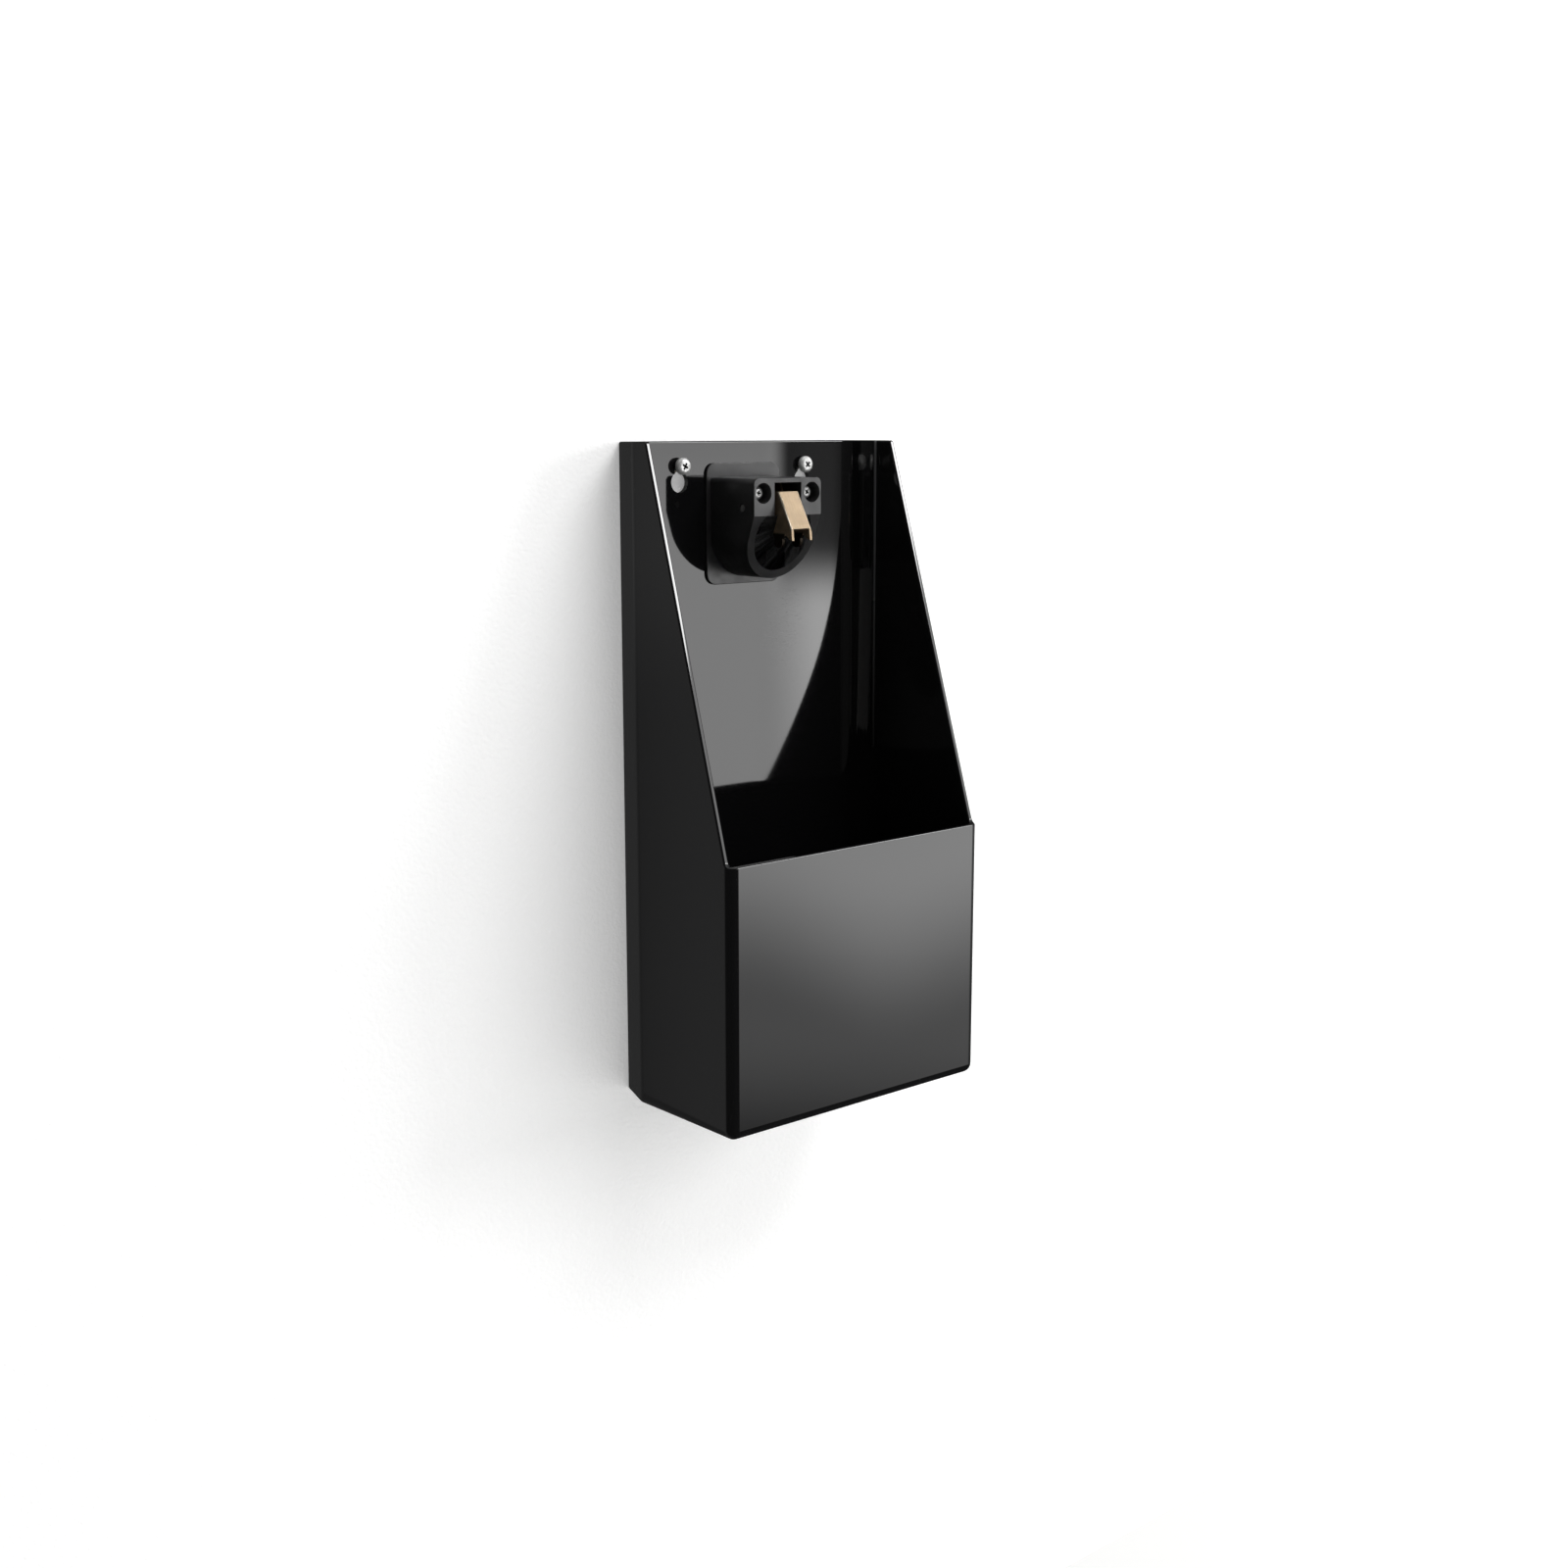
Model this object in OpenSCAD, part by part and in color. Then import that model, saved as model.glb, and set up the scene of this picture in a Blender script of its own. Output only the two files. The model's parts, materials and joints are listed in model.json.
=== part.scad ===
// Wall-mounted crown-cap opener with an open-fronted cap catcher.
// X right, Y into the wall, Z up. The wall is the plane Y = 0 and the
// origin lies midway between the two wall screws.

/* [Catcher] */
// overall height of the catcher
catcher_h = 350; // [280:1:420]
// width across the front panel
catcher_w = 175; // [140:1:215]
// projection from the wall to the front panel
catcher_d = 104; // [85:1:130]
// height of the closed front panel
front_h = 143; // [100:1:190]
// depth of the side walls at the top edge
lip_d = 34.5; // [28:0.5:50]
// foot of the sloping side edges behind the front face
foot_in = 4.6; // [3.5:0.1:8]
// wall thickness of the moulding
wall_t = 3; // [2:0.1:3.5]
// inset of the back edge from the front corner, each side
back_in = 10.5; // [7:0.5:16]
// inset of the rear chamfer's crease from the front corner, each side
crease_in = 2.5; // [0.5:0.1:5]
// depth of the rear chamfer
chamfer_d = 23; // [15:1:32]
// gap between the back panel and the wall
standoff = 3; // [3:0.1:5]
// outer radius of the front corners and bottom edges
corner_r = 5.5; // [4:0.5:10]
// radius of the bead inside each rear crease
bead_r = 0.9; // [0.6:0.1:1.5]
// length of the bead inside each rear crease
bead_l = 174; // [120:1:230]

/* [Wall fixing] */
// distance between the two wall screws
fix_pitch = 85; // [78:1:110]
// wall screws below the top edge of the catcher
fix_drop = 13; // [10:0.5:20]
// wall screw shank diameter
wall_screw_d = 4.8; // [4:0.1:5.5]
// wall screw head diameter
wall_head_d = 9; // [8:0.1:9.8]
// wall screw head height
wall_head_h = 3; // [2.4:0.1:3.4]
// wall screw length under the head
wall_screw_l = 40; // [30:1:60]
// space between the back panel and a wall screw's head
head_off = 2.4; // [0.3:0.1:4]
// wall plug diameter
plug_d = 8; // [7:0.5:10]
// wall plug length
plug_l = 40; // [30:1:60]
// keyhole entry diameter
entry_d = 11; // [10.5:0.1:13]
// lift needed to free the catcher from the screws
lift = 8.4; // [7:0.1:12]

/* [Opener] */
// flange centre below the top edge of the catcher
opener_drop = 44; // [42:0.5:80]
// flange beyond the opener body on each side
flange_side = 2.5; // [1.5:0.5:7]
// flange height
flange_h = 65; // [62:0.5:80]
// flange thickness
flange_t = 1.5; // [1.2:0.1:4]
// width of the opener body
body_w = 46; // [44:0.5:56]
// projection of the opener body from its flange
body_d = 37; // [34:0.5:45]
// height of the two screw pads at the front
pad_h = 19.5; // [17:0.5:22]
// width of the claw slot
slot_w = 18.4; // [17.4:0.1:19]
// lean of the cap seat back towards the wall
seat_lean = 22; // [12:1:28]
// radius of the cap pocket
pocket_r = 18.5; // [16.5:0.1:19.5]
// depth of the cap pocket
pocket_d = 6; // [4:0.1:7]

/* [Claw] */
// outer width of the folded claw
claw_w = 13.9; // [12:0.1:16.4]
// sheet thickness of the claw
claw_t = 1.5; // [1:0.1:2]
// pivot pin diameter
pin_d = 4; // [3:0.1:4.5]
// pivot pin behind the front of the screw pads
pin_back = 10; // [9:0.1:12]
// play on each side of a pin spacer
spacer_play = 0.225; // [0.1:0.025:0.4]

/* [Opener screws] */
// opener screws in from the sides of the opener body
screw_in = 6.3; // [5.8:0.1:6.8]
// opener screw shank diameter
screw_d = 4; // [3.5:0.1:4.2]
// opener screw head diameter
head_d = 7; // [6:0.1:8]
// opener screw head height
head_h = 2.6; // [2:0.1:3]
// length of opener screw held in its insert
screw_bite = 3.1; // [2.5:0.1:4]
// counterbore diameter
bore_d = 10.8; // [9:0.1:11]
// depth of the counterbore to its seat
bore_deep = 6.6; // [4:0.1:8]
// outer diameter of the brass insert
insert_d = 6; // [5.6:0.1:7]

/* [Fits] */
// radial clearance between claw and pin
run_clear = 0.05; // [0.02:0.01:0.1]
// radial clearance of pieces fixed on or in each other
fix_clear = 0.03; // [0.01:0.01:0.05]
// clearance between pieces that pass each other
gap = 0.3; // [0.2:0.05:0.5]

/* [Hidden] */
$fn = 96;
eps = 0.01;
z_top = fix_drop;
z_bot = fix_drop - catcher_h;
plate_y = -(standoff + wall_t);
back_w = catcher_w - 2 * back_in;
crease_w = catcher_w - 2 * crease_in;
flange_y = plate_y - flange_t;
flange_w = body_w + 2 * flange_side;
front_y = flange_y - body_d;
oz = fix_drop - opener_drop;
fx = fix_pitch / 2;
sx = body_w / 2 - screw_in;
sz = oz + 17.3;
body_top = oz + 25;
body_bot = oz - 28.5;
body_r = body_w / 2;
pad_bot = body_top - pad_h;
slot_bot = oz - 15;
roof_z = body_top - 2.3;
shell_t = 3;
pin_y = front_y + pin_back;
pin_z = oz + 9.5;
seat_y = front_y + bore_deep;
screw_l = plate_y + screw_bite - seat_y;
spacer_t = (slot_w - claw_w) / 2 - 2 * spacer_play;
tan_lean = tan(seat_lean);
chin_y = front_y + (pad_bot - body_bot) * tan_lean;
key_r = wall_screw_d / 2 + 0.6;
key_z = -(key_r - wall_screw_d / 2 - gap);
insert_l = 5;
insert_back = plate_y + insert_l;
core_y = front_y + 22.5;
web_top = [-10.3, 8.4];
web_low = [-20.9, -10.6];

// plan of the catcher: chamfer line and side line, and their inner offsets
k1 = (crease_w - back_w) / 2 / chamfer_d;
k2 = (catcher_w - crease_w) / 2 / (catcher_d - chamfer_d);
s1 = sqrt(1 + k1 * k1);
s2 = sqrt(1 + k2 * k2);
in_c = (crease_w / 2 - k2 * chamfer_d - back_w / 2 + wall_t * (s1 - s2)) / (k1 - k2);
in_x1 = back_w / 2 + k1 * (standoff + wall_t) - wall_t * s1;
in_xc = back_w / 2 + k1 * in_c - wall_t * s1;
in_x2 = crease_w / 2 + k2 * (catcher_d - wall_t - chamfer_d) - wall_t * s2;
rim_x = back_w / 2 - wall_t * s1;
foot_y = catcher_d - foot_in;

function unit(v) = v / norm(v);
function at(p, i) = p[(i + len(p)) % len(p)];
function arm(p, i, s) = unit(at(p, i + s) - p[i]);
function half(p, i) = acos(arm(p, i, -1) * arm(p, i, 1)) / 2;
function centre(p, i, r) = p[i] + unit(arm(p, i, -1) + arm(p, i, 1)) * r / sin(half(p, i));

// convex outline with its own radius at each corner
module rounded(p, r) {
  cut = [for (i = [0:len(p) - 1]) r[i] == 0
    ? [p[i]]
    : [p[i] + arm(p, i, -1) * r[i] / tan(half(p, i)), p[i] + arm(p, i, 1) * r[i] / tan(half(p, i))]];
  polygon([for (c = cut) for (q = c) q]);
  for (i = [0:len(p) - 1])
    if (r[i] > 0) translate(centre(p, i, r[i])) circle(r = r[i]);
}

// a side outline given as [y, z], swept along X
module along_x(w) {
  translate([-w / 2, 0, 0])
  rotate([90, 0, 90])
  linear_extrude(height = w)
  children();
}

// a front outline given as [x, z], swept from y0 towards the viewer
module along_y(y0, d) {
  translate([0, y0, 0])
  rotate([90, 0, 0])
  linear_extrude(height = d)
  children();
}

module rod_y(x, y0, z, r, d) {
  translate([x, y0, z])
  rotate([90, 0, 0])
  cylinder(r = r, h = d);
}

module rod_x(x0, y, z, r, w) {
  translate([x0, y, z])
  rotate([0, 90, 0])
  cylinder(r = r, h = w);
}

module catcher_plan() {
  rounded([[-back_w / 2, 0], [-crease_w / 2, -chamfer_d], [-catcher_w / 2, -catcher_d],
    [catcher_w / 2, -catcher_d], [crease_w / 2, -chamfer_d], [back_w / 2, 0]],
    [0, 2, corner_r, corner_r, 2, 0]);
}

module cavity_plan() {
  yb = plate_y;
  yf = -(catcher_d - wall_t);
  ri = corner_r - wall_t;
  rounded([[-in_x1, yb], [-in_xc, -in_c], [-in_x2, yf],
    [in_x2, yf], [in_xc, -in_c], [in_x1, yb]],
    [4, 4, ri, ri, 4, 4]);
}

module catcher_outer() {
  intersection() {
    translate([0, 0, z_bot])
    linear_extrude(height = catcher_h)
    catcher_plan();
    translate([0, 0, z_bot])
    along_x(catcher_w + 10)
    union() {
      rounded([[0, 0], [0, catcher_h], [-lip_d, catcher_h],
        [-foot_y, front_h], [-foot_y, 0]],
        [0, 0, 2, 0, 0]);
      rounded([[-catcher_d / 2, 0], [-catcher_d / 2, front_h],
        [-catcher_d, front_h], [-catcher_d, 0]],
        [0, 0, 0.8, corner_r]);
    }
    translate([0, 0, z_bot])
    along_y(1, catcher_d + 2)
    rounded([[-catcher_w / 2, 0], [catcher_w / 2, 0],
      [catcher_w / 2, catcher_h], [-catcher_w / 2, catcher_h]],
      [corner_r, corner_r, 0, 0]);
  }
}

module catcher_cavity() {
  ri = corner_r - wall_t;
  yf = -(catcher_d - wall_t);
  intersection() {
    translate([0, 0, z_bot + wall_t])
    linear_extrude(height = catcher_h)
    cavity_plan();
    translate([0, 0, z_bot + wall_t])
    along_x(catcher_w + 10)
    rounded([[0, 0], [0, catcher_h], [yf, catcher_h], [yf, 0]], [0, 0, 0, ri]);
    translate([0, 0, z_bot + wall_t])
    along_y(1, catcher_d + 2)
    rounded([[-in_x2, 0], [in_x2, 0], [in_x2, catcher_h], [-in_x2, catcher_h]],
      [ri, ri, 0, 0]);
  }
}

module keyhole(x) {
  rod_y(x, 1, -lift, entry_d / 2, 20);
  rod_y(x, 1, key_z, key_r, 20);
  translate([x - key_r, -19, -lift])
  cube([2 * key_r, 20, lift + key_z]);
}

module rear_ribs() {
  for (x = [-rim_x * 0.62, rim_x * 0.62])
    translate([x - 0.9, -standoff - eps, z_bot + wall_t])
    cube([1.8, standoff - 1, catcher_h - 2 * wall_t - 36]);
  for (f = [0.18, 0.4, 0.62])
    translate([-rim_x - eps, -standoff - eps, z_bot + catcher_h * f])
    cube([2 * rim_x + 2 * eps, standoff - 1, 1.8]);
}

module catcher_shell() {
  color([0.012, 0.012, 0.013])
  difference() {
    union() {
      difference() {
        catcher_outer();
        catcher_cavity();
        translate([-rim_x, -standoff, z_bot + wall_t])
        cube([2 * rim_x, standoff + 1, catcher_h - 2 * wall_t]);
      }
      rear_ribs();
      for (s = [-1, 1])
        translate([s * in_xc, -in_c, z_top - 0.5 - bead_l])
        cylinder(r = bead_r, h = bead_l);
      for (s = [-1, 1])
        rod_y(s * sx, -1, sz, insert_d / 2 + 3.5, standoff);
    }
    keyhole(-fx);
    keyhole(fx);
    for (s = [-1, 1])
      rod_y(s * sx, 1, sz, insert_d / 2 + fix_clear, 20);
  }
}

module cross(w, t, d) {
  translate([-w / 2, 0, -t / 2])
  cube([w, d, t]);
  translate([-t / 2, 0, -w / 2])
  cube([t, d, w]);
}

// pan head with its underside at y = 0, dome towards -Y
module pan_head(d, h, turn) {
  dome = d * 0.85;
  difference() {
    intersection() {
      rod_y(0, 0, 0, d / 2, h);
      translate([0, dome - h, 0])
      sphere(r = dome);
    }
    translate([0, -h - 1, 0])
    rotate([0, turn, 0])
    cross(d * 0.56, d * 0.12, h * 0.55 + 1);
  }
}

module wall_screw(x, turn) {
  tip = 6;
  y0 = plate_y - head_off;
  color([0.72, 0.73, 0.72])
  translate([x, y0, 0])
  union() {
    pan_head(wall_head_d, wall_head_h, turn);
    rotate([-90, 0, 0])
    translate([0, 0, -eps])
    cylinder(r = wall_screw_d / 2, h = wall_screw_l - tip + eps);
    translate([0, wall_screw_l - tip, 0])
    rotate([-90, 0, 0])
    cylinder(r1 = wall_screw_d / 2, r2 = 0.4, h = tip);
  }
}

module wall_screw_left() {
  wall_screw(-fx, 28);
}

module wall_screw_right() {
  wall_screw(fx, 45);
}

module wall_plug(x) {
  color([0.55, 0.56, 0.56])
  difference() {
    translate([x, 0, 0])
    rotate([-90, 0, 0])
    cylinder(r = plug_d / 2, h = plug_l);
    translate([x, -1, 0])
    rotate([-90, 0, 0])
    cylinder(r = wall_screw_d / 2 + fix_clear, h = wall_screw_l + plate_y - head_off + 2);
    translate([x - 0.5, plug_l - 16, -plug_d])
    cube([1, 17, 2 * plug_d]);
  }
}

module wall_plug_left() {
  wall_plug(-fx);
}

module wall_plug_right() {
  wall_plug(fx);
}

module insert(x) {
  color([0.72, 0.53, 0.2])
  difference() {
    rod_y(x, insert_back, sz, insert_d / 2, insert_l);
    rod_y(x, insert_back + 1, sz, screw_d / 2 + fix_clear, insert_l + 2);
  }
}

module insert_left() {
  insert(-sx);
}

module insert_right() {
  insert(sx);
}

module opener_base() {
  color([0.03, 0.03, 0.032])
  difference() {
    union() {
      along_y(plate_y, flange_t)
      rounded([[-flange_w / 2, oz - flange_h / 2], [flange_w / 2, oz - flange_h / 2],
        [flange_w / 2, oz + flange_h / 2], [-flange_w / 2, oz + flange_h / 2]],
        [6, 6, 6, 6]);
      for (s = [-1, 1])
        translate([s * (slot_w / 2 + shell_t + 0.2 + 3.2) - 3.2, flange_y - 4, oz - 9])
        cube([6.4, 4 + eps, 14]);
    }
    for (s = [-1, 1])
      rod_y(s * sx, 1, sz, screw_d / 2 + 0.25, 40);
  }
}

// outline of the opener body seen from the front
module body_outline(r, top, inset) {
  zc = body_bot + body_r;
  translate([0, zc])
  circle(r = r);
  rounded([[-r, zc], [r, zc], [r, top], [-r, top]], [0, 0, 3 - inset, 3 - inset]);
}

module opener_housing() {
  zc = body_bot + body_r;
  ri = body_r - shell_t;
  color([0.035, 0.035, 0.038])
  difference() {
    intersection() {
      along_y(flange_y, body_d)
      body_outline(body_r, body_top, 0);
      along_x(body_w + 2)
      polygon([[flange_y, body_bot], [flange_y, body_top], [front_y, body_top],
        [front_y, pad_bot], [chin_y, body_bot]]);
    }
    // cored from behind, leaving the cheeks and the screw tubes
    difference() {
      along_y(flange_y + 1, core_y * -1 + flange_y + 1)
      body_outline(ri, body_top - shell_t, 1);
      translate([-slot_w / 2 - shell_t, core_y - 1, slot_bot - shell_t])
      cube([slot_w + 2 * shell_t, 60, 80]);
      for (s = [-1, 1])
        rod_y(s * sx, 2, sz, bore_d / 2 + 0.3, 60);
    }
    // slot for the claw
    translate([-slot_w / 2, front_y - 1, slot_bot])
    cube([slot_w, body_d + 2, roof_z - slot_bot]);
    // pocket that the crown cap rests in
    intersection() {
      along_y(flange_y, body_d + 10)
      translate([0, zc])
      circle(r = pocket_r);
      along_x(body_w)
      polygon([[front_y + pocket_d / cos(seat_lean), pad_bot],
        [front_y + pocket_d / cos(seat_lean) + (pad_bot - body_bot) * tan_lean, body_bot],
        [front_y - 10, body_bot], [front_y - 10, pad_bot]]);
    }
    for (s = [-1, 1]) {
      rod_y(s * sx, seat_y, sz, bore_d / 2, 20);
      rod_y(s * sx, 1, sz, screw_d / 2 + 0.25, 60);
    }
    rod_x(-body_w, pin_y, pin_z, pin_d / 2 + fix_clear, 2 * body_w);
  }
}

// claw cheek outline as [y, z] about the pin
module claw_side() {
  union() {
    polygon([web_top, web_low, [-21.6, -16.7], [-19.6, -16.4], [-16, -13.7],
      [-13.2, -16.4], [-8, -18.4], [-4, -8], [4.2, -2], [9.8, 6], [9.8, 12.9], [4, 13.1],
      [2, 8.4]]);
    translate([-10.4, -17.6])
    circle(r = 3.4);
    circle(r = 4.4);
  }
}

module opener_claw() {
  lean = atan2(web_top[0] - web_low[0], web_top[1] - web_low[1]);
  color([0.62, 0.47, 0.3])
  translate([0, pin_y, pin_z])
  difference() {
    along_x(claw_w)
    claw_side();
    // hollow between the cheeks, behind the front web
    along_x(claw_w - 2 * claw_t)
    translate(web_top)
    rotate(-lean)
    translate([claw_t, -60])
    square([60, 120]);
    along_x(claw_w - 2 * claw_t)
    translate(web_low)
    rotate(-lean)
    translate([-10, -60])
    square([60, 60]);
    rod_x(-claw_w, 0, 0, pin_d / 2 + run_clear, 2 * claw_w);
  }
}

module claw_pin() {
  color([0.6, 0.6, 0.6])
  rod_x(-body_w / 2 + 0.2, pin_y, pin_z, pin_d / 2, body_w - 0.4);
}

module pin_spacer(s) {
  mid = (claw_w / 2 + slot_w / 2) / 2;
  color([0.8, 0.8, 0.78])
  difference() {
    rod_x(s * mid - spacer_t / 2, pin_y, pin_z, 3.6, spacer_t);
    rod_x(s * mid - spacer_t, pin_y, pin_z, pin_d / 2 + fix_clear, 2 * spacer_t);
  }
}

module pin_spacer_left() {
  pin_spacer(-1);
}

module pin_spacer_right() {
  pin_spacer(1);
}

module opener_screw(x, turn) {
  color([0.66, 0.67, 0.67])
  translate([x, seat_y, sz])
  union() {
    pan_head(head_d, head_h, turn);
    rotate([-90, 0, 0])
    translate([0, 0, -eps])
    cylinder(r = screw_d / 2, h = screw_l + eps);
  }
}

module opener_screw_left() {
  opener_screw(-sx, 10);
}

module opener_screw_right() {
  opener_screw(sx, 35);
}

catcher_shell();
wall_screw_left();
wall_screw_right();
wall_plug_left();
wall_plug_right();
insert_left();
insert_right();
opener_base();
opener_housing();
opener_claw();
claw_pin();
pin_spacer_left();
pin_spacer_right();
opener_screw_left();
opener_screw_right();
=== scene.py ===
import json
import math

import bmesh
import bpy
from mathutils import Matrix, Vector

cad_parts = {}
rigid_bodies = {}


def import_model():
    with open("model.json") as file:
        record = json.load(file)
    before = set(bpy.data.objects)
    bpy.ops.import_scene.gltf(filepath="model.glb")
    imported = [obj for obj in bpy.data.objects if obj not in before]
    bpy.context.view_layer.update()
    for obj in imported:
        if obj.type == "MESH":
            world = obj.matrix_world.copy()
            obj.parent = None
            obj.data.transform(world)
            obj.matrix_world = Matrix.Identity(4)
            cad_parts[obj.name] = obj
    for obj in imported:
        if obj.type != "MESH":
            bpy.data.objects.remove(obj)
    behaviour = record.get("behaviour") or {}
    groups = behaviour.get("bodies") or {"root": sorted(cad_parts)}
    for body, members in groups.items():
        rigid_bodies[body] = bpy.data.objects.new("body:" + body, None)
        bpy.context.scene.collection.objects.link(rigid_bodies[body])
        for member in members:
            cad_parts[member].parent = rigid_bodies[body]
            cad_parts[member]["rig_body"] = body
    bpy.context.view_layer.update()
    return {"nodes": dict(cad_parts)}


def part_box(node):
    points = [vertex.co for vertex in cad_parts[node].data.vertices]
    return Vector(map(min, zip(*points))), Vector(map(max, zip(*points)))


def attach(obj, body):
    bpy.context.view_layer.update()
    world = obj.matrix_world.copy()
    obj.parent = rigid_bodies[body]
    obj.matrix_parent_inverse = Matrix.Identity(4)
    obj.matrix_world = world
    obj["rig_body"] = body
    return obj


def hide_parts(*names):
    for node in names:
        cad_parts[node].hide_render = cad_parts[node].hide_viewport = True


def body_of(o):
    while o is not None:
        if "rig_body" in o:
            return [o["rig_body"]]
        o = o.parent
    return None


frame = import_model()

bl_info = {
    "name": "Wall Bottle Opener with Cap Catcher",
    "version": (1, 0, 0),
    "blender": (4, 5, 0),
    "location": "View3D > Sidebar > Cap Catcher",
    "description": "Builds a wall-mounted bottle opener with its cap catcher, finishes and studio",
    "category": "Object",
}

SHELL_LOW, SHELL_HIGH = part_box("catcher_shell")
BASE_LOW, BASE_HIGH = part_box("opener_base")
BODY_LOW, BODY_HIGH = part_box("opener_housing")
CLAW_LOW, CLAW_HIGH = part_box("opener_claw")
PIN_LOW, PIN_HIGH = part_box("claw_pin")
PIN_Y = (PIN_LOW.y + PIN_HIGH.y) / 2
PIN_Z = (PIN_LOW.z + PIN_HIGH.z) / 2
INSERT_LOW, INSERT_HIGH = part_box("insert_right")
INSERT_RADIUS = (INSERT_HIGH.z - INSERT_LOW.z) / 2
SCREW_X = (INSERT_LOW.x + INSERT_HIGH.x) / 2
SCREW_Z = (INSERT_LOW.z + INSERT_HIGH.z) / 2
FIX_LOW, FIX_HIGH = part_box("wall_screw_right")
FIX_X = (FIX_LOW.x + FIX_HIGH.x) / 2
PLUG_LOW, PLUG_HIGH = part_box("wall_plug_right")

NEAR = 2e-4          # tolerance when corners are found before they are rounded
TOUCH = 1e-5         # tolerance when edges of a finished cut are found
THROUGH = (-0.02, 0.01)  # depths between which a hole through the back is cut
OVERLAP = 0.0005     # how far a joined part reaches into its neighbour
FIXED_FIT = 0.00003  # radial clearance of pieces fixed in each other
LOOSE_FIT = 0.00025  # radial clearance round an opener screw
RUNNING_FIT = 0.00005  # radial clearance between claw and pin
PIN_RADIUS = 0.002
SCREW_RADIUS = 0.002
SHANK_RADIUS = 0.0024  # of a wall screw
RIB_THICKNESS = 0.0018
RIB_BACK = -0.001    # depth of the ribs' rear edges
RIB_PLACE = 0.62     # upright ribs, as a share of the rim's half width
RIB_LEVELS = (0.18, 0.4, 0.62)  # level ribs, as shares of the height
PAD_RADIUS = 0.0065  # of the pads that hold the inserts


def length(name, description, default):
    return bpy.props.FloatProperty(
        name=name, description=description, default=default, unit="LENGTH", precision=4, min=0.0
    )


def tint(name, description, default):
    return bpy.props.FloatVectorProperty(
        name=name, description=description, default=default, subtype="COLOR", size=3, min=0.0, max=1.0
    )


class CatcherSizes(bpy.types.PropertyGroup):
    """Sizes of the moulded catcher"""

    width: length("Width", "Width across the front panel", 0.175)
    depth: length("Depth", "Projection from the wall", -SHELL_LOW.y)
    front_height: length("Front height", "Height of the closed front panel", 0.143)
    lip_depth: length("Lip depth", "Depth of the sides at the top edge", 0.0345)
    foot_in: length("Slope foot", "Foot of the sloping side edges behind the front face", 0.0046)
    wall: length("Wall", "Thickness of the moulding", 0.003)
    back_width: length("Back width", "Width where the catcher meets the wall", 0.154)
    crease_width: length("Crease width", "Width where the rear chamfer ends", 0.170)
    chamfer_depth: length("Chamfer depth", "Depth of the rear chamfer", 0.023)
    standoff: length("Standoff", "Gap between the back panel and the wall", 0.003)
    corner_radius: length("Corner radius", "Radius of front corners and bottom edges", 0.0055)
    lip_round: length("Lip rounding", "Rounding of the open edge", 0.0009)
    bead_radius: length("Bead radius", "Radius of the bead inside each rear crease", 0.0009)
    bead_length: length("Bead length", "Length of the bead inside each rear crease", 0.174)
    entry_radius: length("Keyhole entry", "Radius of the keyhole entry", 0.0055)
    slot_radius: length("Keyhole slot", "Half width of the keyhole slot", 0.003)
    lift: length("Lift", "Lift that frees the catcher from its screws", 0.0084)
    screw_head: length("Screw head", "Height of a wall screw's head", 0.003)


class OpenerSizes(bpy.types.PropertyGroup):
    """Sizes of the opener body, claw and screws"""

    pad_height: length("Pad height", "Height of the two screw pads", 0.0195)
    slot_width: length("Slot width", "Width of the claw slot", 0.0184)
    seat_lean: bpy.props.FloatProperty(
        name="Seat lean", description="Lean of the cap seat towards the wall",
        default=math.radians(22), subtype="ANGLE",
    )
    pocket_radius: length("Pocket radius", "Radius of the cap pocket", 0.0185)
    pocket_depth: length("Pocket depth", "Depth of the cap pocket", 0.006)
    bore_radius: length("Counterbore radius", "Radius of the screw counterbores", 0.0054)
    bore_depth: length("Counterbore depth", "Depth of the screw counterbores", 0.0066)
    claw_width: length("Claw width", "Outer width of the folded claw", CLAW_HIGH.x - CLAW_LOW.x)
    fold_radius: length("Claw fold", "Outer radius of the claw's folds", 0.0009)
    claw_sheet: length("Claw sheet", "Sheet thickness of the claw", 0.0015)
    edge_round: length("Edge rounding", "Rounding of the moulded edges", 0.0006)


class FinishColours(bpy.types.PropertyGroup):
    """Colours of the finishes"""

    catcher: tint("Catcher", "Gloss black plastic", (0.0035, 0.0035, 0.0038))
    opener: tint("Opener", "Satin black plastic", (0.016, 0.016, 0.0165))
    claw: tint("Claw", "Passivated steel", (0.40, 0.305, 0.205))
    # colour of the painted highlight on the claw's edges, sheared faces and fold outsides
    claw_edge_highlight: tint("Claw edge", "Sheared steel edge", (0.85, 0.77, 0.64))
    zinc: tint("Zinc", "Bright zinc plating", (0.80, 0.80, 0.79))
    plug: tint("Plug", "Moulded nylon", (0.42, 0.43, 0.43))
    brass: tint("Brass", "Turned brass", (0.78, 0.57, 0.22))
    wall: tint("Wall", "Painted wall", (0.86, 0.86, 0.86))
    floor: tint("Floor", "Pale floor", (0.84, 0.84, 0.83))


# ---------------------------------------------------------------- modelling by hand


def deselect():
    if bpy.context.mode != "OBJECT":
        bpy.ops.object.mode_set(mode="OBJECT")
    bpy.ops.object.select_all(action="DESELECT")


def activate(piece):
    deselect()
    piece.select_set(True)
    bpy.context.view_layer.objects.active = piece


def edit(piece, kind="VERT", action="SELECT"):
    """Enters edit mode with everything, or nothing, selected."""
    activate(piece)
    bpy.ops.object.mode_set(mode="EDIT")
    bpy.ops.mesh.select_mode(type=kind)
    bpy.ops.mesh.select_all(action=action)


def leave():
    bpy.ops.object.mode_set(mode="OBJECT")


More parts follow.
